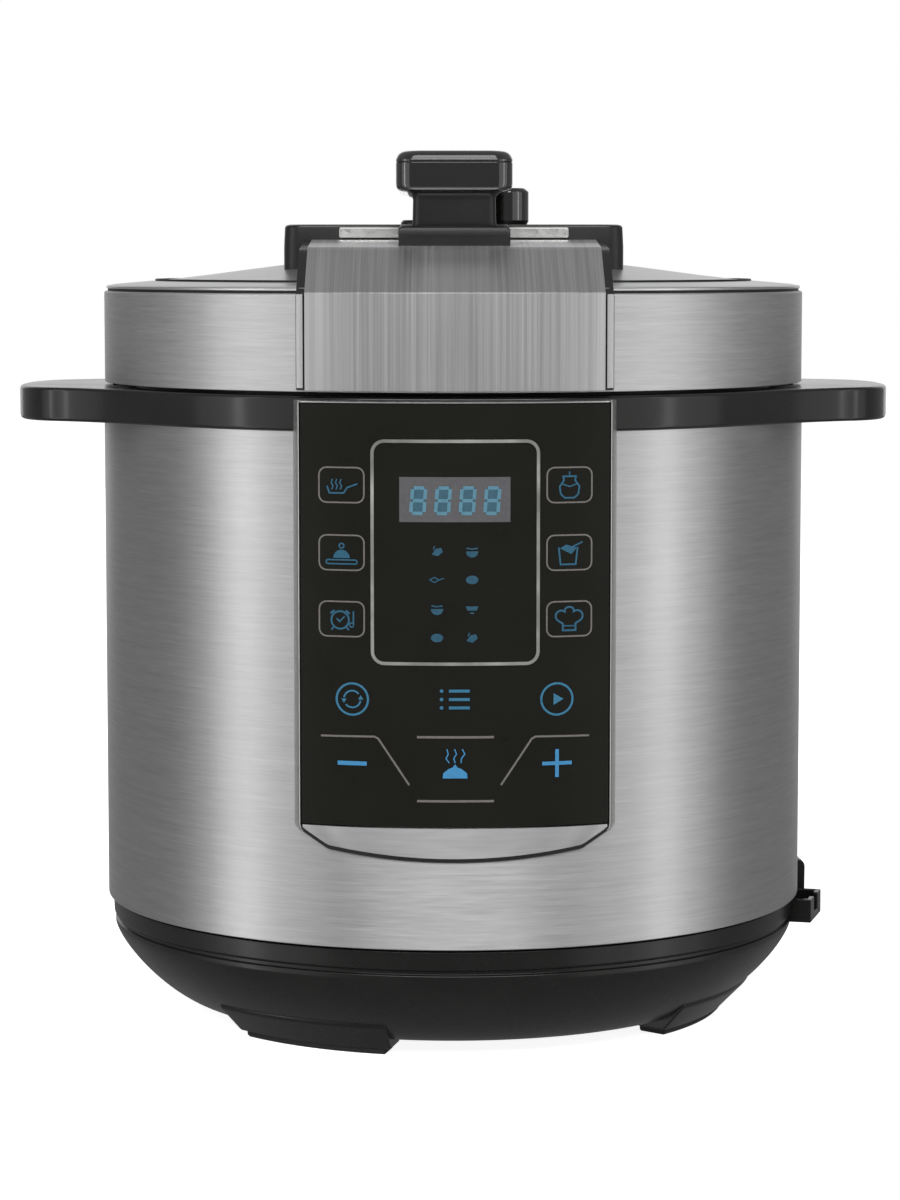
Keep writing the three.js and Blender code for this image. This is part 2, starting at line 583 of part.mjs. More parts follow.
function pressureValve() {
  const weight = revolve(
    [[0, 313.6], [4, 313.6], [4, 304.9], [9.2, 304.9], [10, 305.7], [10, 318.7], [9.2, 319.5], [0, 319.5]],
    24,
    VALVE,
  );
  const lever = box([VALVE[0] - 4, VALVE[0] + 4], [VALVE[1] + 8, VALVE[1] + 25], [309, 314]);
  return join(weight, lever);
}
part("pressure_valve", pressureValve(), glossBlack);

part(
  "float_guide",
  revolve([[3.4, 300.5], [5, 300.5], [5, 304.5], [8, 304.5], [8, 306.2], [7.4, 306.8], [3.4, 306.8]], 20, FLOAT),
  blackPlastic,
);
part(
  "float_valve",
  revolve(
    [
      [0, 278.5], [5, 278.5], [5, 279.6], [2.2, 279.6], [2.2, 282.8], [2.8, 282.8], [2.8, 290.9], [4.4, 290.9],
      [4.4, 292], [2.8, 292], [2.8, 305.4], [0, 305.4],
    ],
    16,
    FLOAT,
  ),
  plainSteel,
);
part("float_gasket", tube(2.5, 6, 279.9, 282.5, FLOAT, 16), silicone);

// ---------------------------------------------------------------- lid: floating inner cover and seal
part("centre_post", rod(4.5, 250, 289, [0, 0], 16), plainSteel);
part("cover_nut", hexNut(4.8, 9, [251, 255.6], [0, 0]), plainSteel);

function innerCover() {
  const profile = [
    [5.1, 256.2], [9, 256.2], [9, 261.5], [108.2, 261.5], [108.2, 262.8], [9, 262.8], [9, 272], [5.1, 272],
  ];
  const steamHoles = spread(6, (i) => rod(3, 255, 270, polar(72, i * 60), 10));
  return cut(revolve(profile, INNER_SEGMENTS), ...steamHoles);
}
part("inner_cover", innerCover(), plainSteel);
part(
  "sealing_ring",
  revolve(
    [
      [104.5, 256.4], [107.5, 254.9], [115.6, 254.9], [115.6, 266.4], [104.5, 266.4], [104.5, 263.3], [108.7, 263.3],
      [108.7, 261], [104.5, 261],
    ],
    INNER_SEGMENTS,
  ),
  silicone,
);

export default cooker;
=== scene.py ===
"""Looks of the electric pressure cooker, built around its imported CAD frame.

Lengths are in millimetres about the cooking axis until add() makes a mesh of them. The front faces -Y.
"""

import math

import bmesh
import bpy
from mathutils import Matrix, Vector


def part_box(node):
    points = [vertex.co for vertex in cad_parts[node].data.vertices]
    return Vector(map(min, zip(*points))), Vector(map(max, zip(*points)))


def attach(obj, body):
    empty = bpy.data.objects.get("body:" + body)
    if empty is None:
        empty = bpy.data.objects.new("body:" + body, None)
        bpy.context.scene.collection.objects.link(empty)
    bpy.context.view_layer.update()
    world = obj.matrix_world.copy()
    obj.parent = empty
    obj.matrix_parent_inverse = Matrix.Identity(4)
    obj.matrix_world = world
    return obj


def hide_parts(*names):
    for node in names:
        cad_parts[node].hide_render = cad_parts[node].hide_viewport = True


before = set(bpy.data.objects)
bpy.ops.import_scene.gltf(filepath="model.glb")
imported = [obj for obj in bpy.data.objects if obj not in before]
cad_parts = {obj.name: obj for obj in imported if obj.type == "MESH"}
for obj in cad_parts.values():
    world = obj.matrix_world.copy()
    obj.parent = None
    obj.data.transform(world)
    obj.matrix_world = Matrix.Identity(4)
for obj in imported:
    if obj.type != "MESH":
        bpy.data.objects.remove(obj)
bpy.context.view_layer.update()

MM = 0.001
pot_low, pot_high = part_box("inner_pot")
AXIS = Vector((0, (pot_low.y + pot_high.y) / 2, 0))


# ------------------------------------------------------------------ materials
def new_material(name, **sockets):
    material = bpy.data.materials.new(name)
    material.use_nodes = True
    shader = material.node_tree.nodes["Principled BSDF"]
    for key, value in sockets.items():
        shader.inputs[key.replace("_", " ")].default_value = value
    return material, material.node_tree, shader


def noise(tree, scale, detail=3.0, roughness=0.55, vector=None):
    """A noise value whose grain runs along the axes with the smaller scales, in cycles a metre."""
    mapping = tree.nodes.new("ShaderNodeMapping")
    mapping.inputs["Scale"].default_value = scale
    if vector is None:
        vector = tree.nodes.new("ShaderNodeTexCoord").outputs["Object"]
    tree.links.new(vector, mapping.inputs["Vector"])
    texture = tree.nodes.new("ShaderNodeTexNoise")
    texture.inputs["Scale"].default_value = 1.0
    texture.inputs["Detail"].default_value = detail
    texture.inputs["Roughness"].default_value = roughness
    tree.links.new(mapping.outputs["Vector"], texture.inputs["Vector"])
    return texture.outputs["Fac"]


def spread(tree, value, low, high, source=(0.3, 0.7)):
    node = tree.nodes.new("ShaderNodeMapRange")
    for key, number in zip(("From Min", "From Max", "To Min", "To Max"), (*source, low, high)):
        node.inputs[key].default_value = number
    tree.links.new(value, node.inputs["Value"])
    return node.outputs["Result"]


def blend_colours(tree, value, dark, light):
    ramp = tree.nodes.new("ShaderNodeValToRGB")
    ramp.color_ramp.elements[0].position, ramp.color_ramp.elements[1].position = 0.3, 0.7
    ramp.color_ramp.elements[0].color = (*dark, 1)
    ramp.color_ramp.elements[1].color = (*light, 1)
    tree.links.new(value, ramp.inputs["Fac"])
    return ramp.outputs["Color"]


def add_values(tree, first, second, share):
    """first, with a share of second mixed in."""
    node = tree.nodes.new("ShaderNodeMix")
    node.inputs["Factor"].default_value = share
    tree.links.new(first, node.inputs["A"])
    tree.links.new(second, node.inputs["B"])
    return node.outputs["Result"]


def bump(tree, shader, height, strength, distance):
    node = tree.nodes.new("ShaderNodeBump")
    node.inputs["Strength"].default_value = strength
    node.inputs["Distance"].default_value = distance
    tree.links.new(height, node.inputs["Height"])
    tree.links.new(node.outputs["Normal"], shader.inputs["Normal"])


def radius_vector(tree):
    """Object coordinates turned into (radius, 0, height), for marks that run in circles."""
    split = tree.nodes.new("ShaderNodeSeparateXYZ")
    tree.links.new(tree.nodes.new("ShaderNodeTexCoord").outputs["Object"], split.inputs[0])
    flat = tree.nodes.new("ShaderNodeCombineXYZ")
    for axis in "XY":
        tree.links.new(split.outputs[axis], flat.inputs[axis])
    length = tree.nodes.new("ShaderNodeVectorMath")
    length.operation = "LENGTH"
    tree.links.new(flat.outputs[0], length.inputs[0])
    made = tree.nodes.new("ShaderNodeCombineXYZ")
    tree.links.new(length.outputs["Value"], made.inputs["X"])
    tree.links.new(split.outputs["Z"], made.inputs["Z"])
    return made.outputs[0]


def brushed(name, fine, coarse, tone, contrast=0.1, rough=(0.26, 0.4), circles=False, anisotropic=0.0,
            turn=0.0):
    """Brushed steel. fine and coarse are the two grains' scales in cycles a metre along X, Y and Z."""
    material, tree, shader = new_material(
        name, Metallic=1.0, Anisotropic=anisotropic, Anisotropic_Rotation=turn
    )
    vector = radius_vector(tree) if circles else None
    lines = noise(tree, fine, 2.0, 0.6, vector)
    bands = noise(tree, coarse, 3.0, 0.5, vector)
    grain = add_values(tree, lines, bands, 0.45)
    cloud = noise(tree, (14, 14, 9), 2.0)
    dark = tuple(c * (1 - contrast) for c in tone)
    light = tuple(c * (1 + contrast) for c in tone)
    colour = blend_colours(tree, grain, dark, light)
    tree.links.new(colour, shader.inputs["Base Color"])
    tree.links.new(spread(tree, add_values(tree, grain, cloud, 0.35), *rough), shader.inputs["Roughness"])
    bump(tree, shader, grain, 0.12, 0.00004)
    tangent = tree.nodes.new("ShaderNodeTangent")
    tangent.direction_type, tangent.axis = "RADIAL", "Z"
    tree.links.new(tangent.outputs["Tangent"], shader.inputs["Tangent"])
    return material


def plastic(name, tone, rough, specular=0.5, grain=0.05, grain_scale=2600, coat=0.0, light=1.35):
    """Moulded plastic: fine grain, slight wear in its gloss, and faint dust in its colour."""
    material, tree, shader = new_material(
        name, Specular_IOR_Level=specular, Coat_Weight=coat, Coat_Roughness=0.05
    )
    cloud = noise(tree, (38, 38, 38), 4.0, 0.6)
    speck = noise(tree, (grain_scale,) * 3, 2.0)
    tree.links.new(
        blend_colours(tree, cloud, tone, tuple(c * light for c in tone)), shader.inputs["Base Color"]
    )
    tree.links.new(spread(tree, cloud, rough * 0.85, rough * 1.2), shader.inputs["Roughness"])
    bump(tree, shader, speck, grain, 0.00005)
    return material


def metal(name, tone, rough, scale=(420, 420, 420), contrast=0.08):
    material, tree, shader = new_material(name, Metallic=1.0)
    grain = noise(tree, scale, 4.0, 0.6)
    dark = tuple(c * (1 - contrast) for c in tone)
    light = tuple(c * (1 + contrast) for c in tone)
    tree.links.new(blend_colours(tree, grain, dark, light), shader.inputs["Base Color"])
    tree.links.new(spread(tree, grain, rough * 0.8, rough * 1.25), shader.inputs["Roughness"])
    bump(tree, shader, grain, 0.06, 0.00005)
    return material


def ink(name, tone, glow=0.0, rough=0.35):
    """Printed or backlit marks."""
    material, tree, shader = new_material(name, Specular_IOR_Level=0.3, Emission_Strength=glow)
    shader.inputs["Emission Color"].default_value = (*tone, 1)
    dots = noise(tree, (900, 900, 900), 2.0)
    tree.links.new(
        blend_colours(tree, dots, tuple(c * 0.85 for c in tone), tone), shader.inputs["Base Color"]
    )
    tree.links.new(spread(tree, dots, rough * 0.8, rough * 1.2), shader.inputs["Roughness"])
    return material


AROUND = 0.25
steel_skin = brushed(
    "brushed_around", (75, 75, 2100), (22, 22, 700), (0.60, 0.60, 0.60), 0.13, (0.40, 0.52), False, 0.75,
    AROUND
)
steel_skirt = brushed(
    "brushed_skirt", (75, 75, 2100), (22, 22, 700), (0.64, 0.64, 0.64), 0.13, (0.48, 0.6), False, 0.55,
    AROUND
)
steel_lid = brushed("spun_lid", (1700, 1700, 1700), (380, 380, 380), (0.62, 0.62, 0.62), 0.08,
                    (0.28, 0.4), True)
steel_fascia = brushed("brushed_down", (2300, 9, 9), (700, 4, 4), (0.62, 0.62, 0.62), 0.18, (0.34, 0.44))
# The chin plate's steel is a lit copy of the fascia's: its lighter tone is painted light, standing in for
# the brighter reflection the chin shows.
lit_steel_chin = brushed(
    "brushed_chin_lit", (75, 75, 1500), (22, 22, 500), (0.82, 0.82, 0.82), 0.05, (0.46, 0.56), False, 0.6,
    AROUND
)
steel_plain = brushed("drawn_steel", (40, 40, 1500), (12, 12, 260), (0.62, 0.62, 0.63), 0.05, (0.2, 0.3))
steel_round = brushed("spun_steel", (1500, 1500, 1500), (300, 300, 300), (0.62, 0.62, 0.63), 0.05,
                      (0.2, 0.32), True)
cast_alloy = metal("cast_alloy", (0.5, 0.51, 0.52), 0.45)
bright_trim = metal("plated_trim", (0.66, 0.66, 0.64), 0.34, (900, 30, 900), 0.05)
brass = metal("brass", (0.62, 0.47, 0.2), 0.3)
body_black = plastic("body_plastic", (0.0042, 0.0042, 0.0038), 0.27, 0.4, 0.03)
lid_black = plastic("lid_plastic", (0.0045, 0.0045, 0.0042), 0.42, 0.3, 0.03, coat=0.3)
lid_black.node_tree.nodes["Principled BSDF"].inputs["Coat Roughness"].default_value = 0.3
collar_black = plastic("collar_plastic", (0.0038, 0.0038, 0.0034), 0.3, 0.25, 0.015, coat=0.4)
collar_black.node_tree.nodes["Principled BSDF"].inputs["Coat Roughness"].default_value = 0.14
gloss_black = plastic("handle_plastic", (0.0036, 0.0036, 0.0032), 0.12, 0.8, 0.006, coat=0.9)
seam_black = plastic("seam_plastic", (0.008, 0.008, 0.008), 0.5, 0.3)
panel_black = plastic("panel_film", (0.0068, 0.0068, 0.0055), 0.3, 0.1, 0.01, 3500, light=1.12)
cheek_paint = metal("cheek_paint", (0.55, 0.55, 0.55), 0.42, (1400, 1400, 1400), 0.06)
inner_grey = plastic("inner_plastic", (0.06, 0.06, 0.063), 0.5, 0.4)
foot_rubber = plastic("foot_rubber", (0.012, 0.012, 0.012), 0.7, 0.25, 0.2, 1500)
silicone = plastic("silicone", (0.66, 0.67, 0.65), 0.5, 0.4, 0.05, 900, light=1.08)
silicone.node_tree.nodes["Principled BSDF"].inputs["Subsurface Weight"].default_value = 0.1
cup_plastic = plastic("cup_plastic", (0.3, 0.32, 0.34), 0.14, 0.5, 0.02)
cup_plastic.node_tree.nodes["Principled BSDF"].inputs["Transmission Weight"].default_value = 0.75
board_green = plastic("board", (0.02, 0.11, 0.045), 0.45, 0.5, 0.3, 420, light=1.8)
line_grey = ink("line_grey", (0.105, 0.098, 0.09))
silver_line = metal("silver_line", (0.62, 0.62, 0.58), 0.35, (60, 60, 60), 0.2)
mark_blue = ink("mark_blue", (0.019, 0.097, 0.162), 0.22)
mark_bright = ink("mark_bright", (0.025, 0.133, 0.26), 0.3)
mark_key = ink("mark_key", (0.014, 0.066, 0.108), 0.15)
mark_dim = ink("mark_dim", (0.014, 0.055, 0.088), 0.12)
window_grey = ink("window_grey", (0.068, 0.066, 0.07))
digit_shade = ink("digit_shade", (0.027, 0.071, 0.1), 0.05)
digit_blue = ink("digit_blue", (0.056, 0.138, 0.184), 0.2)


# ------------------------------------------------------------------ meshes
def polar(r, deg):
    return r * math.cos(math.radians(deg)), r * math.sin(math.radians(deg))


def rounded(points, steps=4):
    """A closed outline: a point (a, b, radius) becomes a rounded corner, and a point (a, b) stays."""
    made = []
    for i, point in enumerate(points):
        here = Vector(point[:2])
        if len(point) < 3:
            made.append(tuple(here))
            continue
        arms = [Vector(points[i - 1][:2]) - here, Vector(points[(i + 1) % len(points)][:2]) - here]
        half = arms[0].angle(arms[1]) / 2
        reach = min(point[2] / math.tan(half), 0.49 * arms[0].length, 0.49 * arms[1].length)
        start, end = (here + arm.normalized() * reach for arm in arms)
        for k in range(steps + 1):
            t = k / steps
            made.append(tuple(start * (1 - t) ** 2 + here * 2 * t * (1 - t) + end * t**2))
    return made


def arc(cx, cy, r, start, end, steps):
    turns = [math.radians(start + (end - start) * k / steps) for k in range(steps + 1)]
    return [(cx + r * math.cos(a), cy + r * math.sin(a)) for a in turns]


def rounded_box(x, y, r, steps=6):
    """The plan outline of a box with round corners."""
    (x0, x1), (y0, y1) = x, y
    corners = [(x1 - r, y0 + r, -90), (x1 - r, y1 - r, 0), (x0 + r, y1 - r, 90), (x0 + r, y0 + r, 180)]
    return [p for cx, cy, a in corners for p in arc(cx, cy, r, a, a + 90, steps)]


def add(name, verts, faces, look, body, replaces=(), slot=None, sharp=32, bevel=0):
    mesh = bpy.data.meshes.new(name)
    mesh.from_pydata([Vector(v) * MM for v in verts], [], faces)
    made = bmesh.new()
    made.from_mesh(mesh)
    bmesh.ops.remove_doubles(made, verts=made.verts, dist=1e-7)
    bmesh.ops.dissolve_degenerate(made, dist=1e-8, edges=made.edges)
    if bevel:
        edges = [e for e in made.edges if e.is_manifold and e.calc_face_angle() > math.radians(30)]
        bmesh.ops.bevel(
            made, geom=edges, offset=bevel * MM, segments=3, profile=0.5, affect="EDGES",
            clamp_overlap=True
        )
    if all(e.is_manifold for e in made.edges):
        bmesh.ops.recalc_face_normals(made, faces=made.faces)
    made.to_mesh(mesh)
    made.free()
    mesh.shade_smooth()
    mesh.set_sharp_from_angle(angle=math.radians(sharp))
    mesh.materials.append(look)
    obj = bpy.data.objects.new(name, mesh)
    bpy.context.scene.collection.objects.link(obj)
    obj.location = AXIS
    normals = obj.modifiers.new("normals", "WEIGHTED_NORMAL")
    normals.keep_sharp = True
    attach(obj, body)
    if replaces:
        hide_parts(*([replaces] if isinstance(replaces, str) else replaces))
    return obj


def loft(rings, closed=False):
    """Faces over a run of equal closed outlines. Both ends are capped unless the run closes on itself."""
    n = len(rings[0])
    verts = [p for ring in rings for p in ring]
    faces = []
    for i in range(len(rings) - (0 if closed else 1)):
        j = (i + 1) % len(rings)
        faces += [(i * n + k, i * n + (k + 1) % n, j * n + (k + 1) % n, j * n + k) for k in range(n)]
    if not closed:
        faces += [tuple(reversed(range(n))), tuple(range(len(verts) - n, len(verts)))]
    return verts, faces


def revolve(profile, at=(0, 0), segments=192):
    rings = []
    for k in range(segments):
        a = 2 * math.pi * k / segments
        rings.append([(at[0] + r * math.cos(a), at[1] + r * math.sin(a), z) for r, z in profile])
    return loft(rings, closed=True)


def sector(profile, centre, width, steps=24):
    """The same profile over part of a turn, with its ends closed."""
    angles = [math.radians(centre - width / 2 + width * k / steps) for k in range(steps + 1)]
    return loft([[(r * math.cos(a), r * math.sin(a), z) for r, z in profile] for a in angles])


def stack(outline, levels):
    """A plan outline piled up through (height, inset) levels about its own middle."""
    cx = (min(p[0] for p in outline) + max(p[0] for p in outline)) / 2
    cy = (min(p[1] for p in outline) + max(p[1] for p in outline)) / 2
    hx = max(p[0] for p in outline) - cx
    hy = max(p[1] for p in outline) - cy
    rings = []
    for z, inset in levels:
        sx, sy = (hx - inset) / hx, (hy - inset) / hy
        rings.append([(cx + (x - cx) * sx, cy + (y - cy) * sy, z) for x, y in outline])
    return loft(rings)


def front(profile, steps=40):
    """A closed profile of (radius, height, half width) points swept across the front of the body."""
    rings = []
    for k in range(steps + 1):
        t = 2 * k / steps - 1
        rings.append([(w * t, -math.sqrt(r * r - (w * t) ** 2), z) for r, z, w in profile])
    return loft(rings)


def joined(*meshes):
    verts, faces = [], []
    for v, f in meshes:
        faces += [tuple(i + len(verts) for i in face) for face in f]
        verts += v
    return verts, faces


def moved(mesh, deg=0, x=0, y=0):
    """A mesh turned about Z, then shifted."""
    c, s = math.cos(math.radians(deg)), math.sin(math.radians(deg))
    return [(x + c * px - s * py, y + s * px + c * py, pz) for px, py, pz in mesh[0]], mesh[1]


def cut(obj, *cutters):
    """Subtracts closed meshes from a piece and keeps the result as its mesh."""
    for verts, faces in cutters:
        tool = bpy.data.meshes.new("cutter")
        tool.from_pydata([Vector(v) * MM for v in verts], [], faces)
        made = bmesh.new()
        made.from_mesh(tool)
        bmesh.ops.recalc_face_normals(made, faces=made.faces)
        made.to_mesh(tool)
        made.free()
        tool_obj = bpy.data.objects.new("cutter", tool)
        bpy.context.scene.collection.objects.link(tool_obj)
        tool_obj.location = AXIS
        boolean = obj.modifiers.new("cut", "BOOLEAN")
        boolean.operation, boolean.object, boolean.solver = "DIFFERENCE", tool_obj, "EXACT"
        bpy.context.view_layer.update()
        while obj.modifiers.find("cut") > 0:
            obj.modifiers.move(obj.modifiers.find("cut"), 0)
        bare = obj.modifiers["normals"]
        bare.show_viewport = False
        graph = bpy.context.evaluated_depsgraph_get()
        new = bpy.data.meshes.new_from_object(obj.evaluated_get(graph))
        obj.modifiers.remove(obj.modifiers["cut"])
        bare.show_viewport = True
        obj.data = new
        new.set_sharp_from_angle(angle=math.radians(32))
        bpy.data.objects.remove(tool_obj)
    return obj


def box(x, y, z):
    outline = [(x[0], y[0]), (x[1], y[0]), (x[1], y[1]), (x[0], y[1])]
    return loft([[(*p, h) for p in outline] for h in z])


# ------------------------------------------------------------------ base
FRONT_R = 139.5
FLOOR_Z, FLOOR_R = 5.5, 104
GROOVE_Z, GROOVE_R = 34, 132.9
ROUNDNESS = 2 / 1.32


def bowl(offset, steps=22):
    """The bowl's side from its flat floor up to the groove under its lip, inset by offset."""
    made = []
    for k in range(steps + 1):
        a = math.pi / 2 * (1 - k / steps)
        r = FLOOR_R + (GROOVE_R - FLOOR_R) * math.cos(a) ** ROUNDNESS
        z = GROOVE_Z - (GROOVE_Z - FLOOR_Z) * math.sin(a) ** ROUNDNESS
        made.append((r - offset * math.cos(a), z + offset * math.sin(a)))
    return made


WALL = 2.2
side = bowl(0)
profile = [(0, FLOOR_Z), *side, (GROOVE_R, 35.3, 0.5), (132, 35.8, 0.3), (132, 37, 0.3),
           (133.1, 37.6, 0.5)]
profile += [(133.4, 38.2), (133.6, 44.2, 0.8), (132.4, 45, 0.3), (131.8, 52, 0.4), (129.6, 52, 0.4),
            (129.6, 37)]
profile += [*reversed(bowl(WALL)), (0, FLOOR_Z + WALL)]
base = add("base_bowl", *revolve(rounded(profile)), body_black, "root", "base_shell", "body_black")
vents = [moved(box((58, 72), (-1.6, 1.6), (0, 12)), 20 + i * 45) for i in range(8)]
holes = [revolve([(0, 0), (4.6, 0), (4.6, 12), (0, 12)], polar(78, a), 24) for a in (0, 120, 240)]
cut(base, *vents, *holes)

FOOT_AZIMUTHS = (-120.5, -25, 60, 150)
BOSS_SPAN, PAD_SPAN, RIB_OFFSET = 36, 33, 15.4
for i, azimuth in enumerate(FOOT_AZIMUTHS, 1):
    section = rounded([(93, 12), (93, 3.2, 1), (94, 2.4, 0.8), (107.4, 2.4, 1.6), (117.4, 12.6, 3),
                       (117, 17)])
    add(f"foot_boss_{i}", *sector(section, azimuth, BOSS_SPAN), body_black, "root", slot="body_black",
        bevel=1.6)
    rib = rounded([(104, 2.6), (107.2, 2.5, 0.6), (112.2, 8, 0.8), (108, 10)])
    ribs = [sector(rib, azimuth + s * RIB_OFFSET, 0.9, 3) for s in (-1, 1)]
    add(f"foot_ribs_{i}", *joined(*ribs), body_black, "root", slot="body_black", bevel=0.2)
    pad = rounded([(93.8, 2.6), (94, 0.5, 0.6), (94.6, 0, 0.4), (105.4, 0, 0.8), (106.4, 1, 0.8),
                   (106.6, 2.6)])
    add(f"foot_rubber_{i}", *sector(pad, azimuth, PAD_SPAN), foot_rubber, "root", f"foot_pad_{i}",
        "foot_rubber", bevel=0.4)

# Accessory socket: a C in plan, open at the top and slotted in its outer wall, over a closed floor.
SOCKET = {"x": 142.4, "y": -12, "deg": -15}
walls = [(-17, -12.5), (0, -12.5), (0, -4.5), (-2, -4.5), (-2, -10.5), (-8.5, -10.5)]
walls += [(x, -y) for x, y in reversed(walls)]
wall = loft([[(*p, z) for p in walls] for z in (35.8, 43.2)])
floor = loft([[(-17, s, 34), (0, s, 34), (0, s, 36.8), (-17, s, 36.8)] for s in (-12.5, 12.5)])
for name, mesh in (("accessory_socket", wall), ("accessory_socket_floor", floor)):
    add(name, *moved(mesh, SOCKET["deg"], SOCKET["x"], SOCKET["y"]), body_black, "root",
        slot="body_black", bevel=0.45)
tab = rounded([(133, 37), (139.4, 37, 1), (139.5, 53, 3), (137.6, 54.5, 1.2), (135.7, 54.5),
               (135.7, 43.4), (133, 43.4)])
add("socket_tab", *sector(tab, 9, 16), body_black, "root", slot="body_black", bevel=0.5)

inlet_levels = [(16, 2), (16.6, 0.8), (18, 0), (53, 0), (54, 0.5), (54.5, 1.6)]
inlet = stack(rounded_box((-20, 20), (126, 145), 2.5), inlet_levels)
inlet_block = add("inlet_block", *inlet, body_black, "root", slot="body_black")
cut(inlet_block, box((-14.5, 14.5), (120, 150), (24, 46)))

# ------------------------------------------------------------------ shell and collar
hem = [(134.4, 45.6, 0.4), (134.7, 45.2, 0.3), (135.5, 45.3, 0.5), (135.5, 232, 0.3), (134.5, 232, 0.3)]
add("body_shell", *revolve(rounded(hem), segments=256), steel_skin, "root", "outer_shell", "skin_steel")

trough = [(133, 231.6), (133, 241.8, 0.3), (131.6, 243, 0.6), (131, 238.6, 1), (123.6, 238.6, 1),
          (122.6, 250.6, 0.6)]
trough += [(120, 250.6, 0.5), (120, 228, 0.4), (122, 228, 0.4), (122, 236.4), (129, 236.4), (129, 231.6)]
add("collar_trough", *revolve(rounded(trough)), lid_black, "root", "collar", "body_black")


def bezier(points, steps):
    """Points along a Bezier curve of any degree, without its last one."""
    made = []
    for k in range(steps):
        run, t = [Vector(p) for p in points], k / steps
        while len(run) > 1:
            run = [a.lerp(b, t) for a, b in zip(run, run[1:])]
        made.append(tuple(run[0]))
    return made


COLLAR_R, EAR_TIP, EAR_START = 136.8, 168, -41


def collar_outline():
    """The collar and both side handles as one line in plan."""
    start = Vector(polar(COLLAR_R, EAR_START))
    along = Vector(polar(1, EAR_START + 90))
    knee = (150, -46.5)
    half = bezier([start, start + along * 24, (137, -53), knee], 14)
    half += bezier([knee, (EAR_TIP, -38), (EAR_TIP, 0)], 16)
    right = [*half, (EAR_TIP, 0), *[(x, -y) for x, y in reversed(half)]]
    back = [polar(COLLAR_R, -EAR_START + k) for k in range(2, 180 + 2 * EAR_START, 2)]
    left = [(-x, -y) for x, y in right]
    return [*right, *back, *left, *[(-x, -y) for x, y in back]]


def shrunk(outline, inset):
    """A convex outline moved inwards by inset all round."""
    made = []
    for i, p in enumerate(outline):
        along = Vector(outline[(i + 1) % len(outline)]) - Vector(outline[i - 1])
        along.normalize()
        made.append((p[0] - along.y * inset, p[1] + along.x * inset))
    return made


def on_circle(outline, r):
    """The outline's points drawn in or out to one radius."""
    return [tuple(Vector(p).normalized() * r) for p in outline]


outline = collar_outline()
levels = [(243.2, on_circle(outline, 132)), (243.2, shrunk(outline, 1.7)), (243, shrunk(outline, 0.8)),
          (242.5, shrunk(outline, 0.2))]
levels += [(241.8, outline), (231.9, outline), (231, shrunk(outline, 0.25)),
           (230.5, shrunk(outline, 0.9))]
band = [[(*p, z) for p in points] for z, points in levels]
under, ceiling = [], []
for p in shrunk(outline, 3.2):
    reach = Vector(p).length
    hollow = min(1, max(0, (reach - 137.5) / 5))
    z = 230.5 + 8.6 * hollow * hollow * (3 - 2 * hollow)
    under.append((*p, 230.5))
    ceiling.append((*p, z))
band += [under, ceiling]
band.append([(*(Vector(p[:2]).normalized() * min(138, Vector(p[:2]).length)), p[2]) for p in ceiling])
band += [[(*p, 230.5) for p in on_circle(outline, 133.5)], [(*p, 242.6) for p in on_circle(outline, 132)]]
add("collar_band", *loft(band, closed=True), collar_black, "root", slot="body_black", sharp=40)

# ------------------------------------------------------------------ control panel
GLASS_R = 139.2
glass = [(138.2, 90.4, 55.2), (GLASS_R - 0.3, 90.4, 55.2), (GLASS_R, 90.6, 54.9), (GLASS_R, 240.6, 54.9)]
glass += [(GLASS_R - 0.3, 240.9, 55.2), (138.2, 240.9, 55.2)]
add("panel_film", *front(glass, 64), panel_black, "root", "panel_glass", "panel_black")

rail = [(137.1, 240.7, 56.8), (139.2, 240.8, 56), (139.5, 241, 55.8), (139.5, 241.4, 55.6),
        (138.9, 241.8, 55.8)]
rail += [(137.1, 241.8, 56.8)]
side_rails = []
for sign in (-1, 1):
    rings = []
    for z, taper in ((87.6, 1.2), (88.4, 0.4), (90, 0), (241.2, 0), (241.7, 0.2)):
        ring_points = []
        for x, r in ((55.1, 135.8), (55.2, 139.1), (55.5, 139.5), (56.0, 139.4), (57.6, 136.4),
                     (57.6, 135.8)):
            x -= taper * (x > 55.4)
            ring_points.append((sign * x, -math.sqrt(r * r - x * x), z))
        rings.append(ring_points)
    side_rails.append(loft(rings))
add("panel_rail", *joined(front(rail), *side_rails), bright_trim, "root", "panel_frame", "silver_trim",
    sharp=50)


CHIN_HALF, CHIN_SHOULDER = 54.6, 45.6
CHIN_LOW, CHIN_CORNER, CHIN_END, CHIN_TOP = 78.2, 82.3, 88.2, 90.2


def chin_mesh(grow, sink, steps=80):
    """The tapered piece under the film: straight shoulders, then one shallow curve."""
    rings = []
    for k in range(steps + 1):
        x = (CHIN_HALF + grow) * (2 * k / steps - 1)
        if abs(x) > CHIN_SHOULDER:
            share = (abs(x) - CHIN_SHOULDER) / (CHIN_HALF - CHIN_SHOULDER)
            low = CHIN_CORNER + (CHIN_END - CHIN_CORNER) * share - grow
        else:
            low = CHIN_LOW + (CHIN_CORNER - CHIN_LOW) * (x / CHIN_SHOULDER) ** 2 - grow
        middle = (low + CHIN_TOP) / 2
        # Each level is (height, depth behind the face).
        levels = [(low + 0.5, 0.05), (middle, 0), (CHIN_TOP - 0.4, 0), (CHIN_TOP, 1.4), (middle, 1.4),
                  (low, 1.4)]
        ring_points = []
        for z, depth in levels:
            r = 136.4 + (z - 77) / 13 * 2.6 - sink - depth
            ring_points.append((x, -math.sqrt(r * r - x * x), z))
        rings.append(ring_points)
    return loft(rings)


add("panel_chin_plate", *chin_mesh(0, 0), lit_steel_chin, "root", "panel_chin", "fascia_steel")
add("panel_chin_gasket", *chin_mesh(1.35, 0.25), seam_black, "root", slot="body_black")


# Marks on the film are thin ribbons and plates that follow its curve.
def between(a, b, t):
    return a[0] + (b[0] - a[0]) * t, a[1] + (b[1] - a[1]) * t


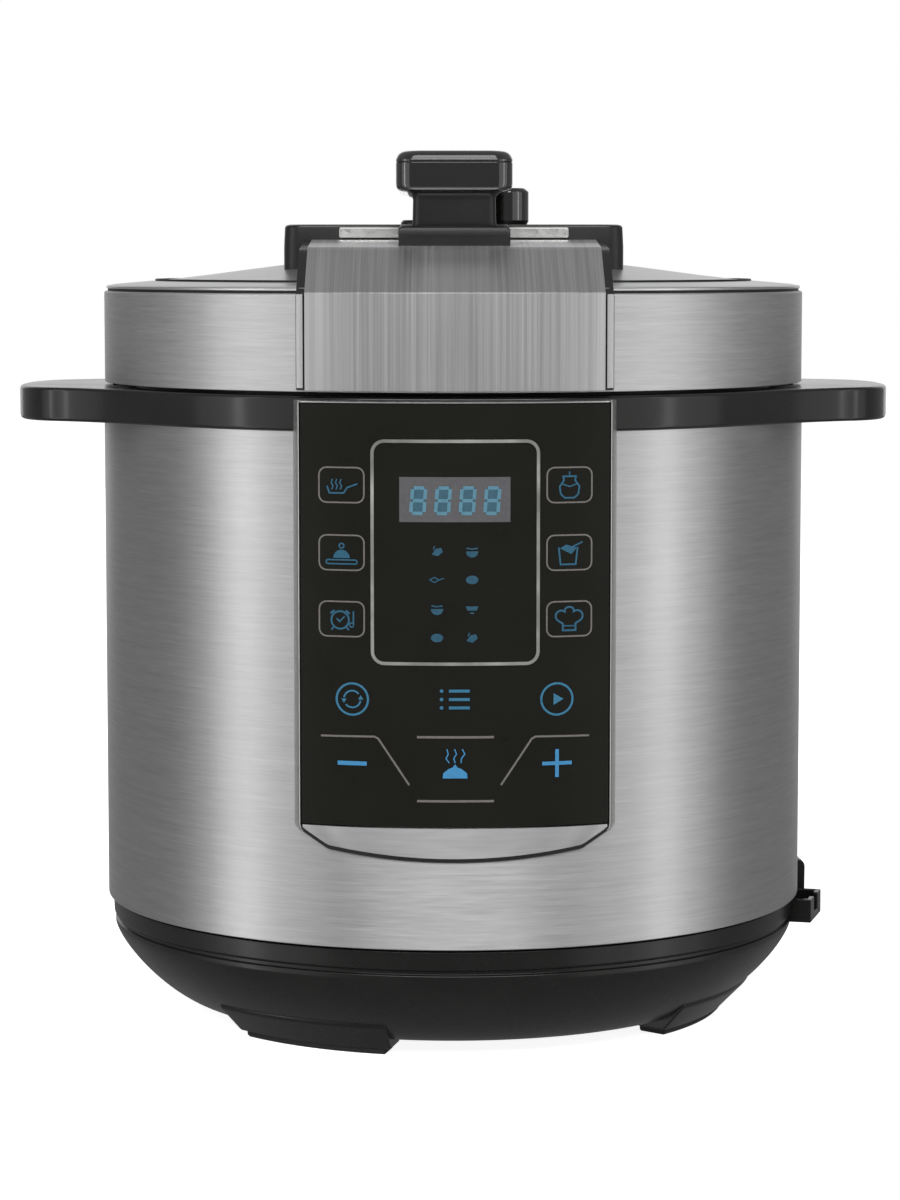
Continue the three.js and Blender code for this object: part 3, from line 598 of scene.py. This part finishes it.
def ribbon(points, width, closed=False):
    """A stroke of even width along a plan line, with mitred corners."""
    dense = []
    run = [*points, points[0]] if closed else points
    for a, b in zip(run, run[1:]):
        steps = max(1, math.ceil(math.dist(a, b) / 2.5))
        dense += [between(a, b, k / steps) for k in range(steps)]
    if not closed:
        dense.append(run[-1])
    n, left, right = len(dense), [], []
    for i, p in enumerate(dense):
        before = dense[i - 1] if closed or i else p
        after = dense[(i + 1) % n] if closed or i < n - 1 else p
        d0, d1 = Vector((p[0] - before[0], p[1] - before[1])), Vector((after[0] - p[0], after[1] - p[1]))
        d0, d1 = (d0 if d0.length else d1).normalized(), (d1 if d1.length else d0).normalized()
        mean = (d0 + d1).normalized() if (d0 + d1).length > 0.1 else d1
        reach = width / 2 / max(0.5, mean.dot(d1))
        normal = Vector((-mean.y, mean.x)) * reach
        left.append((p[0] + normal.x, p[1] + normal.y))
        right.append((p[0] - normal.x, p[1] - normal.y))
    faces = [(i, i + 1, n + i + 1, n + i) for i in range(n - 1)]
    if closed:
        faces.append((n - 1, 0, n, 2 * n - 1))
    return left + right, faces


def plate(points):
    return list(points), [tuple(range(len(points)))]


def grid_plate(x, z, columns=12):
    verts = [(x[0] + (x[1] - x[0]) * k / columns, h) for h in z for k in range(columns + 1)]
    n = columns + 1
    return verts, [(k, k + 1, n + k + 1, n + k) for k in range(columns)]


def placed(shape, cx, cz, scale=1.0):
    return [(cx + x * scale, cz + z * scale) for x, z in shape[0]], shape[1]


def marks(name, look, shapes, height=0.1):
    verts, faces = joined(*shapes)
    r = GLASS_R + height
    add(name, [(x, -math.sqrt(r * r - x * x), z) for x, z in verts], faces, look, "root",
        slot="panel_black")


def circle(cx, cz, r, steps=40):
    return arc(cx, cz, r, 0, 360, steps)[:-1]


marks("mark_outline", silver_line, [ribbon(rounded_box((-29.3, 29.4), (148.9, 227.7), 4.2), 1.15, True)],
      0.16)
KEY_COLUMNS, KEY_ROWS = (-40.2, 40.5), (212, 188, 164.4)
keys = [rounded_box((x - 8, x + 8), (z - 6.2, z + 6.2), 2.6, 4) for x in KEY_COLUMNS for z in KEY_ROWS]
boxes = [ribbon(key, 0.55, True) for key in keys]
rules = [ribbon([(-47.8, 122.4), (-28.6, 122.7), (-27.2, 121.9), (-16.3, 105.6)], 0.7)]
rules.append(ribbon([(47.8, 122.4), (28.6, 122.7), (27.2, 121.9), (16.3, 105.6)], 0.7))
rules += [ribbon([(-13.5, 122.8), (13.8, 122.8)], 0.85), ribbon([(-13.5, 99.9), (13.8, 99.9)], 0.85)]
marks("mark_lines", line_grey, boxes + rules)

pan = [ribbon([(-5.4, -0.4), (-4.5, -3), (0.8, -3), (2.2, -0.9), (6, 0.5)], 0.6)]
steam = [[(x, -1.7), (x + 0.5, -0.4), (x - 0.2, 0.8), (x + 0.3, 2.2)] for x in (-3.6, -2, -0.4)]
pan += [ribbon(line, 0.5) for line in steam]
cover = [plate([(-3.1, -2), *arc(0, -2, 3.1, 0, 180, 14)]),
         ribbon(rounded_box((-5.8, 5.8), (-4.2, -2.7), 0.7, 3), 0.55, True)]
cover.append(ribbon(circle(0, 2.6, 0.9, 12), 0.5, True))
clock = [ribbon(circle(-0.6, -0.4, 3.3, 24), 0.7, True),
         ribbon([(-1.9, 0.2), (-0.8, -1), (1.1, 1)], 0.55)]
clock += [ribbon([(-0.6 + s * 2.1, 3.2), (-0.6 + s * 3.6, 2)], 0.8) for s in (-1, 1)]
clock += [ribbon([(-0.6 + s * 2.4, -3), (-0.6 + s * 3.3, -4.2)], 0.6) for s in (-1, 1)]
clock += [ribbon([(4.4, -2), (4.4, 3)], 0.6), ribbon(circle(3.7, -2.2, 0.8, 10), 0.5, True)]
jar_side = [(2.4, 3.2), (2.1, 1.7), (3.7, -0.6), (3.3, -3.4), (1.8, -4.8)]
jar = [ribbon([*jar_side, *[(-x, z) for x, z in reversed(jar_side)]], 0.65, True)]
jar += [ribbon([(-2.9, 0.4), (0, -0.6), (2.9, 0.4)], 0.5), ribbon([(0, 3.4), (0, 5)], 0.5)]
pot = [ribbon([(-4, 2), (-3.3, -4.4), (2.4, -4.4), (3.1, 2)], 0.65),
       plate([(-3.6, 1.6), (-1.2, 3), (2.8, 1.8), (0.8, -0.6)])]
pot.append(ribbon([(0, 1.6), (5, 3.9)], 0.6))
hat_top = [*arc(-3, 1.1, 2.1, 240, 50, 8), *arc(0, 2.5, 2, 150, 30, 6), *arc(3, 1.1, 2.1, 130, -60, 8)]
hat = [ribbon([(-2.4, -1.7), *hat_top, (2.4, -1.7), (2.4, -4.3), (-2.4, -4.3)], 0.7, True)]
hat.append(ribbon([(-2, -2.6), (2, -2.6)], 0.5))
marks_for_keys = [(pan, 0, 0), (cover, 0, 1), (clock, 0, 2), (jar, 1, 0), (pot, 1, 1), (hat, 1, 2)]
key_marks = [placed(s, KEY_COLUMNS[c], KEY_ROWS[r], 0.95) for shapes, c,
             r in marks_for_keys for s in shapes]
marks("mark_keys", mark_key, key_marks)

bowl_mark = [plate([(-2.2, 0), *arc(0, 0, 2.2, 180, 360, 10)]),
             ribbon([(-2, 1.1), (0, 0.8), (2, 1.1)], 0.5)]
fish_mark = [ribbon([(-2.6, 0), (-1, 0.9), (0.6, 0), (-1, -0.9)], 0.45, True),
             ribbon([(0.6, 0), (2.4, 0.6)], 0.45)]
oval_mark = [plate([(x, z * 0.7) for x, z in circle(0, 0, 2.2, 16)])]
leaf_mark = [plate([(-2, -1.1), (0.2, -1.7), (2, -0.2), (1.4, 1.3), (-0.6, 0.9)]),
             ribbon([(-1.4, 0.6), (-0.9, 1.9)], 0.4)]
dish_mark = [plate([(-2.3, 0.9), (2.3, 0.9), (1.6, -0.6), (-1.6, -0.6)]),
             ribbon([(-0.7, -1.5), (0.7, -1.5)], 0.5)]
small = [(leaf_mark, -6.3, 188.9), (bowl_mark, 6, 188.9), (fish_mark, -6.3, 178.8), (oval_mark, 6, 178.8)]
small += [(bowl_mark, -6.4, 168.5), (dish_mark, 6, 168.5), (oval_mark, -6.4, 158.2),
          (leaf_mark, 6, 158.2)]
marks("mark_programs", mark_dim, [placed(s, x, z) for shapes, x, z in small for s in shapes])

key_rings = [ribbon(circle(x, 135.9, 5.6), 0.75, True) for x in (-36.5, 36.2)]
play = [plate([(35, 133.8), (38.6, 135.9), (35, 138)])]
turn = [ribbon(arc(-36.5, 135.9, 3, 40, 170, 10), 0.6), ribbon(arc(-36.5, 135.9, 3, 220, 350, 10), 0.6)]
turn += [plate([(-40.4, 136), (-38.6, 136), (-39.5, 134.4)]),
         plate([(-32.6, 135.8), (-34.4, 135.8), (-33.5, 137.4)])]
rows = [ribbon([(-2.2, z), (5.2, z)], 1.05) for z in (139.3, 136.3, 133.3)]
rows += [plate(circle(-4.8, z, 0.65, 10)) for z in (139.3, 136.3, 133.3)]
marks("mark_commands", mark_blue, key_rings + play + turn + rows)

signs = [ribbon([(-41.8, 112.9), (-31.4, 112.9)], 1.5), ribbon([(31, 112.9), (41.6, 112.9)], 1.3)]
signs += [ribbon([(36.3, 107.9), (36.3, 117.9)], 1.3)]
dish_side = [(4.4, 108.1), (4.2, 110), (2.4, 111.4), (0.9, 112)]
signs.append(plate([(-4.4, 108.1), *dish_side, (0, 113.2),
                    *[(-x, z) for x, z in reversed(dish_side[1:])]]))
for x in (-2.1, 0, 2.1):
    wisp = [(x, 113.6), (x * 1.3 - 0.5, 115.2), (x * 1.4 + 0.5, 116.8), (x * 1.3 - 0.2, 118.6)]
    signs.append(ribbon(wisp, 0.4))
marks("mark_signs", mark_bright, signs)

marks("display_window", window_grey, [grid_plate((-19.7, 19.5), (199.2, 215.1))], 0.06)
# A digit's seven strokes between points of a grid two wide and four high, then the digits' own places.
SEGMENTS = [((-1, h), (1, h)) for h in (2, 0, -2)]
SEGMENTS += [((s, h), (s, h + 2)) for h in (0, -2) for s in (-1, 1)]
DIGIT_Z, DIGIT_HALF, DIGIT_STEP, SLANT = 206.8, 2.3, 2.25, 0.16


def digit_point(cx, px, pz):
    return cx + DIGIT_HALF * px + SLANT * pz, DIGIT_Z + DIGIT_STEP * pz


digits, shades = [], []
for cx in (-13.0, -4.3, 4.4, 13.1):
    for a, b in SEGMENTS:
        start, end = digit_point(cx, *a), digit_point(cx, *b)
        digits.append(ribbon([between(start, end, 0.1), between(start, end, 0.9)], 1.25))
    shades.append(plate([digit_point(cx, px, pz) for px, pz in ((-1, -2), (1, -2), (1, 2), (-1, 2))]))
marks("display_digit_shades", digit_shade, shades, 0.12)
marks("display_digits", digit_blue, digits, 0.18)

# ------------------------------------------------------------------ lid: skirt, edge, dome
# In a profile, a third number is the radius that rounds that corner.
SKIRT_R = 135.2
VALVE, FLOAT = (20.5, 42), (-12.5, 42)
FLOAT_BORE = 3.4
TOOTH_AZIMUTHS = [90 + 60 * i for i in range(6)]
TOOTH_SPAN = 27
skirt = [(134.2, 245.2), (134.3, 244.5, 0.3), (135.2, 244.4, 0.5), (SKIRT_R, 279, 0.8), (134, 279.3, 0.3),
         (133.9, 278)]
add("lid_side", *revolve(rounded(skirt), segments=256), steel_skirt, "lid", "lid_skirt", "skin_steel")
seam = [(131.4, 262), (133.6, 262), (133.8, 280.2, 0.2), (132.6, 280.3, 0.2), (117, 282.2),
        (115.6, 282.2)]
seam += [(115.5, 283.8, 0.2), (114.6, 283.8, 0.2), (114.6, 279.6)]
add("lid_seam", *revolve(rounded([*seam, (131.4, 277.3)])), seam_black, "lid", "lid_frame", "body_black")
top_ring = [(115.7, 282.3), (115.8, 283.0, 0.3), (117, 283.0, 0.5), (131, 281.8, 2), (134.3, 281.2, 0.7),
            (134.3, 280.2, 0.3)]
top_ring += [(133, 280.1)]
add("lid_edge_ring", *revolve(rounded(top_ring), segments=256), steel_lid, "lid", "lid_top_ring",
    "lid_steel")

DOME = [(0, 291.4), (30, 291), (66, 289.1), (83, 286.9), (95, 285.3), (107, 283.9), (112.9, 283.4)]


def lid_height(r):
    """The height of the lid's upper surface at a radius."""
    line = [*DOME, (116, 283.6), (133, 281.3), (140, 280.9)]
    for (r0, z0), (r1, z1) in zip(line, line[1:]):
        if r <= r1:
            return z0 + (z1 - z0) * (r - r0) / (r1 - r0)
    return line[-1][1]


dome = [*DOME, (113.9, 283.3, 0.4), (114.3, 282.2), (114.4, 269.2, 1.5), (130.6, 268.2, 1.5)]
dome += [(130.6, 246.6, 0.4), (128.8, 246.6, 0.4), (128.8, 266.6, 1.5), (112.6, 267.4, 1.5)]
dome += [(112.6, 281.8), (95, 283.8), (66, 287.4), (30, 289.3), (0, 289.6)]
tooth = rounded([(129.2, 246.6), (129.2, 249.8), (123.4, 249.8, 0.5), (123.4, 246.6, 0.5)])
lid_teeth = [sector(tooth, a, TOOTH_SPAN, 10) for a in TOOTH_AZIMUTHS]
lid_bowl = add("lid_bowl", *revolve(rounded(dome)), steel_lid, "lid", "lid_dome", "lid_steel")
cut(lid_bowl, revolve([(0, 270), (FLOAT_BORE, 270), (FLOAT_BORE, 300), (0, 300)], FLOAT, 32))
add("lid_teeth", *joined(*lid_teeth), steel_plain, "lid", slot="lid_steel")

# ------------------------------------------------------------------ lid: nose, fascia, bridge
BEND, CREST, STRIP_END = (FRONT_R, 279.7), (95, 295.4), (50, 298.6)


def nose_line(x, sink):
    """The nose's outer line at x, from the bottom of its front to the back of its top, sunk by sink."""
    r = BEND[0] - sink
    y = -math.sqrt(r * r - x * x)
    crest_y, end_y = -CREST[0], -STRIP_END[0]
    points = [(y, 245.2), (y, 262), (y, BEND[1] - 0.5 - sink)]
    points += [(y, BEND[1] - 0.12 - sink), (y + 0.1, BEND[1] + 0.02 - sink),
               (y + 0.8, BEND[1] + 0.27 - sink)]
    for t in (0.25, 0.5, 0.75, 0.93):
        points.append((y + (crest_y - y) * t, BEND[1] + (CREST[1] - BEND[1]) * t - sink))
    points += [(crest_y + 1.5, CREST[1] + 0.25 - sink), (crest_y + 5, CREST[1] + 0.6 - sink)]
    points += [(end_y - 12, STRIP_END[1] - 0.85 - sink), (end_y, STRIP_END[1] - sink)]
    return points


def across(half_width, steps, outer, inner):
    """Closed outlines of (y, z) points from one side of the nose to the other."""
    rings = []
    for k in range(steps + 1):
        x = half_width * (2 * k / steps - 1)
        rings.append([(x, y, z) for y, z in (*outer(x), *reversed(inner(x)))])
    return loft(rings)


def lid_line(x, sink):
    """The lid's surface under the nose at x, matching nose_line point by point."""
    front_y = -math.sqrt((SKIRT_R + 0.4) ** 2 - x * x)
    line = []
    for y, z in nose_line(x, sink):
        r = math.hypot(x, y)
        if r >= SKIRT_R:
            line.append((front_y, max(246.2, min(z - 0.8, 280.2))))
        else:
            line.append((y, lid_height(r) - 0.35))
    return line


def fascia_back(x):
    """The fascia's hidden side, set back on its front and down on its top."""
    return [(y + 0.8, z) if z < 279 else (y + 0.15, z - 0.75) for y, z in nose_line(x, 0)]


nose = across(56.3, 48, lambda x: nose_line(x, 0.9), lambda x: lid_line(x, 0.9))
add("nose_shell", *nose, lid_black, "lid", "nose_housing", "cheek_grey")
cheek_shapes = []
for sign in (-1, 1):
    rings = []
    for x in (53.9, 54.2, 55.9, 56.4, 56.5):
        r = 139.4 if x < 56 else (139.1 if x < 56.45 else 138.4)
        y, back = -math.sqrt(r * r - x * x), -math.sqrt(136.2**2 - x * x)
        top = BEND[1] - 0.6 - (0.5 if x > 56 else 0)
        rings.append([(sign * x, y, 246.0), (sign * x, y, top), (sign * x, back, top),
                      (sign * x, back, 246.0)])
    cheek_shapes.append(loft(rings))
add("nose_cheeks", *joined(*cheek_shapes), cheek_paint, "lid", slot="cheek_grey", sharp=40)

fascia = across(53.2, 64, lambda x: nose_line(x, 0), fascia_back)
add("fascia_skin", *fascia, steel_fascia, "lid", "fascia_plate", "fascia_steel", sharp=28)

BRIDGE_Y, BRIDGE_HALF = (-50, 88), 63.9
BRIDGE_MID, BRIDGE_REACH = sum(BRIDGE_Y) / 2, (BRIDGE_Y[1] - BRIDGE_Y[0]) / 2
bridge_outline = rounded_box((-BRIDGE_HALF, BRIDGE_HALF), BRIDGE_Y, 7, 8)
rings = []
for scale in (0.04, 0.25, 0.45, 0.65, 0.82, 1):
    floor = [(x * scale, BRIDGE_MID + (y - BRIDGE_MID) * scale) for x, y in bridge_outline]
    rings.append([(x, y, lid_height(math.hypot(x, y)) - 0.3) for x, y in floor])
for z, inset in [(296, 0), (303.2, 0.35), (303.9, 0.8), (304.3, 2)]:
    sx, sy = (BRIDGE_HALF - inset) / BRIDGE_HALF, (BRIDGE_REACH - inset) / BRIDGE_REACH
    rings.append([(x * sx, BRIDGE_MID + (y - BRIDGE_MID) * sy, z) for x, y in bridge_outline])
bridge = add("bridge_shell", *loft(rings), lid_black, "lid", "bridge_cover", "body_black", sharp=40)
well = [(0, 270), (5.4, 270), (5.4, 300), (FLOAT_BORE, 300), (FLOAT_BORE, 310), (0, 310)]
cut(bridge, revolve(well, FLOAT, 32))

strip = stack(rounded_box((-43, 43), (-50.75, -48), 0.3, 2),
              [(299.4, 0.25), (299.7, 0), (302.8, 0), (303.1, 0.25)])
add("bridge_strip", *strip, bright_trim, "lid", "trim_strip", "silver_trim")

# ------------------------------------------------------------------ lid: handle and valves
HANDLE_Y = (-88, 22)
plinth_rings = []
for x, drop in ((-20.4, 1.2), (-20, 0.4), (-19.2, 0), (19.2, 0), (20, 0.4), (20.4, 1.2)):
    plinth_rings.append([(x, -87, 294.6), (x, -87, 299.4), (x, -86.2, 300), (x, -86.2, 302.2 - drop),
                         (x, -85.6, 303 - drop), (x, -84.6, 303.4 - drop), (x, -51.1, 304.4 - drop),
                         (x, -51.1, 297.6)])
add("handle_plinth", *loft(plinth_rings), lid_black, "lid", "lid_handle", "gloss_black", sharp=40)

# Each level of the handle is (height, half width, inset of the ends, corner radius).
GRIP = [(302.6, 15.9, 4.6, 3), (304.4, 15.3, 4, 3), (312.8, 15.1, 3.9, 3), (314.3, 15.3, 3.7, 3),
        (315.3, 16.0, 3.2, 3)]
GRIP += [(315.8, 17.2, 2.4, 3.4), (316.1, 19.2, 1.3, 5), (316.7, 20.6, 0.5, 6.4), (317.8, 21.3, 0.1, 7),
         (319, 21.4, 0, 7)]
GRIP += [(326.3, 21.4, 0, 7), (326.45, 21.3, 0.1, 7), (326.5, 21.1, 0.3, 7)]


def bar_ring(z, half, inset, r, crown=1.2):
    """A round-cornered plan with its short ends crowned."""
    y0, y1 = HANDLE_Y[0] + inset, HANDLE_Y[1] - inset
    ring_points = []
    for x, y in rounded_box((-half, half), (y0, y1), r, 8):
        push = crown * (1 - (x / half) ** 2)
        side = math.copysign(1, y - (y0 + y1) / 2)
        ring_points.append((x, y + side * (push - crown), z))
    return ring_points


add("handle_neck", *loft([bar_ring(*g) for g in GRIP[:6]]), lid_black, "lid", slot="gloss_black",
    sharp=60)
add("handle_bar", *loft([bar_ring(*g) for g in GRIP[5:]]), gloss_black, "lid", slot="gloss_black",
    sharp=60)
CAP = [(326.5, 21.0, 0.4, 7), (326.7, 21.3, 0.1, 7), (327.4, 21.4, 0, 7), (327.8, 21.3, 0.1, 7),
       (328.2, 21.2, 0.5, 7)]
CAP += [(328.9, 20.9, 1.1, 7), (329.6, 20.4, 2, 6.5), (330.2, 19.7, 3, 6), (330.6, 19, 4, 6),
        (330.8, 18.3, 5, 5.5), (331, 17, 6.6, 5)]
add("handle_top", *loft([bar_ring(*g) for g in CAP]), gloss_black, "lid", "handle_cap", "gloss_black",
    sharp=60)

knob = [(0, 313.6), (4, 313.6), (4, 304.9, 0.3), (9.2, 304.9, 0.6), (10, 306.6, 0.6), (10, 318.2, 1.4)]
knob += [(8.4, 319.5, 0.8), (6.5, 319.45), (6, 319.1), (0, 319.1)]
lever_section = [(-1, 309.4), (-1, 313.4), (-0.7, 314), (0.7, 314), (1, 313.4), (1, 309.4)]
lever_run = [(8, 4.6), (14, 4), (22, 4), (24.4, 3.2), (25, 2.2)]
lever = loft([[(VALVE[0] + s * w, VALVE[1] + y, z) for s, z in lever_section] for y, w in lever_run])
add("valve_knob", *joined(revolve(rounded(knob), VALVE, 64), lever), gloss_black, "pressure_valve",
    "pressure_valve", "gloss_black")
guide = [(3.4, 303.5), (8.2, 303.5), (8.2, 305.8, 0.7), (7.4, 306.8, 0.4), (4.4, 306.8, 0.4),
         (3.6, 305.9, 0.3), (3.4, 304)]
add("float_collar", *revolve(rounded(guide), FLOAT, 48), body_black, "lid", "float_guide", "body_black")
pin = [(0, 278.5), (5, 278.5, 0.3), (5, 279.6, 0.3), (2.2, 279.6), (2.2, 282.8), (2.8, 282.8),
       (2.8, 290.9), (4.4, 290.9, 0.2)]
pin += [(4.4, 292, 0.2), (2.8, 292), (2.8, 305, 0.6), (0, 305.4)]
add("float_pin", *revolve(rounded(pin), FLOAT, 40), steel_round, "float_valve", "float_valve",
    "plain_steel")

# ------------------------------------------------------------------ lid: inside
cover_profile = [(5.1, 256.2, 0.4), (9, 256.2, 0.4), (9, 261.2, 0.8), (60, 261.5), (96, 261.5, 2),
                 (99, 260.2, 1.5), (108.3, 260.9, 0.5)]
cover_profile += [(108.3, 262.4, 0.5), (99, 262.6, 2), (9, 262.8, 1), (9, 272, 0.5), (5.1, 272, 0.4)]
cover_piece = add("cover_plate", *revolve(rounded(cover_profile)), steel_round, "inner_cover",
                  "inner_cover", "plain_steel")
hole = [(0, 255), (3, 255), (3, 270), (0, 270)]
cut(cover_piece, *[revolve(hole, polar(72, 60 * i), 20) for i in range(6)])
seal = [(104.5, 256.4, 0.8), (107.5, 254.9, 0.9), (115.6, 254.9, 1.4), (115.6, 266.4, 1.4),
        (104.5, 266.4, 1), (104.5, 263.3, 0.6)]
seal += [(108.7, 263.3), (108.7, 260.4), (104.5, 260.4, 0.6)]
add("seal_ring", *revolve(rounded(seal)), silicone, "inner_cover", "sealing_ring", "seal_silicone")
filter_profile = [(0, 277), (10, 277, 1.2), (11, 278.6, 0.8), (11, 287, 0.3), (10, 287, 0.3), (10, 278.6),
                  (0, 278.2)]
filter_piece = add("vent_strainer", *revolve(rounded(filter_profile), VALVE, 48), steel_round, "lid",
                   "vent_filter", "plain_steel")
hole = [(0, 270), (1.1, 270), (1.1, 280), (0, 280)]
hole_places = [*[polar(6.5, 60 * i) for i in range(6)], (0, 0)]
cut(filter_piece, *[revolve(hole, (VALVE[0] + x, VALVE[1] + y), 12) for x, y in hole_places])

# ------------------------------------------------------------------ pot, housing, heater
pot_profile = [(0, 93.6), (103, 93.6), (112, 101, 5), (112, 252.9, 0.6), (116.2, 253, 0.7),
               (116.2, 254.5, 0.7)]
pot_profile += [(111, 254.5, 0.8), (110.5, 252), (110.5, 102, 5), (103, 95.1), (0, 95.1)]
add("pot_shell", *revolve(rounded(pot_profile, 6)), steel_plain, "inner_pot", "inner_pot", "plain_steel")
housing_profile = [(14, 69.5), (111, 69.5, 2), (118.2, 76, 5), (118.2, 251, 0.6), (121.9, 251, 0.3),
                   (121.9, 253.6, 0.5)]
housing_profile += [(117, 253.6, 0.7), (117, 76.8, 5), (110.4, 71, 2), (14, 71)]
tooth = rounded([(121.2, 251), (127.6, 251, 0.5), (127.6, 253.6, 0.8), (121.2, 253.6)])
flange_teeth = [sector(tooth, a, TOOTH_SPAN, 10) for a in TOOTH_AZIMUTHS]
add("housing_shell", *revolve(rounded(housing_profile)), steel_plain, "root", "inner_housing",
    "plain_steel")
add("housing_teeth", *joined(*flange_teeth), steel_plain, "root", slot="plain_steel")
heater = [(14, 71.3), (92, 71.3), (98, 75, 1), (98, 90, 2), (92, 93.3, 2), (14, 93.3, 0.6)]
add("heater_plate", *revolve(rounded(heater)), cast_alloy, "root", "heating_plate", "cast_alloy")
cap = [(0, 90), (10.5, 90), (10.5, 86), (12.3, 86), (12.3, 92.2, 0.6), (11.3, 93.2, 0.6), (0, 93.2)]
add("sensor_top", *revolve(rounded(cap), segments=48), cast_alloy, "sensor", "sensor_cap", "cast_alloy")

# ------------------------------------------------------------------ condensate cup
CUP_MID_Y = 151.5
CUP_OUT, CUP_IN = (31.5, 11.5), (29.7, 9.7)  # half width and half depth


def cup_rings(half, corner, levels):
    """The cup's plan at (height, inset) levels."""
    (hx, hy), rings = half, []
    plan = rounded_box((-hx, hx), (CUP_MID_Y - hy, CUP_MID_Y + hy), corner, 6)
    for z, inset in levels:
        sx, sy = (hx - inset) / hx, (hy - inset) / hy
        rings.append([(x * sx, CUP_MID_Y + (y - CUP_MID_Y) * sy, z) for x, y in plan])
    return rings


walls = cup_rings(CUP_OUT, 6, [(176, 2.2), (176.4, 1), (177.4, 0.2), (179, 0), (221.3, 0)])
walls += cup_rings(CUP_IN, 4.2, [(221.3, 0), (179.4, 0), (178.2, 0.8), (177.8, 2.4)])
flange = [(31, 141.5), (36.6, 141.5), (36.6, 156.5), (31, 156.5)]
cup_flange = [loft([[(s * x, y, z) for x, y in flange] for z in (219.4, 221.2)]) for s in (-1, 1)]
add("cup_shell", *joined(loft(walls), *cup_flange), cup_plastic, "condensate_cup", "condensate_cup",
    "cup_clear")

# ------------------------------------------------------------------ CAD nodes that stay
screw_steel = metal("screw_steel", (0.5, 0.5, 0.52), 0.32)
KEPT = {
    steel_plain: ["support_leg_1", "support_leg_2", "support_leg_3", "sensor_bracket", "sensor_spring",
                  "pressure_leaf", "vent_pipe", "vent_nut", "centre_post", "cover_nut"],
    screw_steel: ["base_screw_1", "base_screw_2", "base_screw_3", "handle_screw_1", "handle_screw_2"],
    body_black: ["power_inlet", "cup_bracket", "panel_housing"],
    brass: ["inlet_pin_line", "inlet_pin_earth", "inlet_pin_neutral", "thermostat"],
    silicone: ["thermal_fuse", "float_gasket"],
    inner_grey: ["pressure_switch", "power_relay", "display_module"],
    board_green: ["power_board", "control_board"],
}
for look, names in KEPT.items():
    for name in names:
        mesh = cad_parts[name].data
        mesh.materials.clear()
        mesh.materials.append(look)

# ------------------------------------------------------------------ stage, light and camera
stage_material, stage_tree, stage_shader = new_material(
    "stage", Roughness=0.9, Specular_IOR_Level=0.0, Emission_Strength=0.9
)
stage_shader.inputs["Emission Color"].default_value = (1, 1, 1, 1)
stage_tree.links.new(
    blend_colours(stage_tree, noise(stage_tree, (6, 6, 6)), (0.86, 0.86, 0.86), (0.9, 0.9, 0.9)),
    stage_shader.inputs["Base Color"]
)
stage_mesh = bpy.data.meshes.new("stage_floor")
REACH = 6.0
corners = [(-REACH, -REACH, 0), (REACH, -REACH, 0), (REACH, REACH, 0), (-REACH, REACH, 0)]
stage_mesh.from_pydata(corners, [], [(0, 1, 2, 3)])
stage_mesh.materials.append(stage_material)
stage = bpy.data.objects.new("stage_floor", stage_mesh)
bpy.context.scene.collection.objects.link(stage)
stage.visible_glossy = False


def softbox(name, bearing, distance, height, width, tall, power, target_z=0.15):
    """An area light that faces the cooker. Its bearing is 0 in front and positive to the right."""
    light = bpy.data.lights.new(name, "AREA")
    light.shape, light.size, light.size_y, light.energy = "RECTANGLE", width, tall, power
    obj = bpy.data.objects.new(name, light)
    a = math.radians(bearing)
    obj.location = Vector((distance * math.sin(a), AXIS.y - distance * math.cos(a), height))
    aim = Vector((0, AXIS.y, target_z)) - obj.location
    obj.rotation_euler = aim.to_track_quat("-Z", "Y").to_euler()
    obj.visible_camera = False
    bpy.context.scene.collection.objects.link(obj)


softbox("soft_left", -65, 2.3, 0.3, 2.0, 3.2, 11.5)
softbox("strip_left", -70, 2.25, 0.3, 0.14, 2.8, 5)
softbox("soft_right", 66, 2.3, 0.3, 2.2, 3.2, 13)
softbox("strip_right", 70, 2.25, 0.3, 0.14, 2.8, 3.6)
softbox("soft_front", 0, 1.9, 1.75, 2.6, 1.3, 62)
softbox("soft_top", 5, 0.25, 2.2, 0.9, 0.9, 5, 0.3)
softbox("soft_back", 180, 3.0, 0.75, 3.4, 1.7, 13, 0.4)

world = bpy.data.worlds.new("studio")
bpy.context.scene.world = world
world.use_nodes = True
world_tree = world.node_tree
background = world_tree.nodes["Background"]
light_path = world_tree.nodes.new("ShaderNodeLightPath")
mix = world_tree.nodes.new("ShaderNodeMix")
mix.data_type = "RGBA"
mix.inputs["A"].default_value = (0.22, 0.22, 0.225, 1)
mix.inputs["B"].default_value = (1, 1, 1, 1)
world_tree.links.new(light_path.outputs["Is Camera Ray"], mix.inputs["Factor"])
world_tree.links.new(mix.outputs["Result"], background.inputs["Color"])
bpy.context.scene.view_settings.view_transform = "Standard"

CAMERA_PLACE, TILT, PAN, LENS = (-7, -1378, 292.5), 5.57, -0.24, 105.8
camera = bpy.data.cameras.new("camera")
camera.sensor_width, camera.lens = 36, LENS
view = bpy.data.objects.new("camera", camera)
bpy.context.scene.collection.objects.link(view)
view.location = AXIS + Vector(CAMERA_PLACE) * MM
view.rotation_euler = (math.radians(90 - TILT), 0, math.radians(PAN))
bpy.context.scene.camera = view
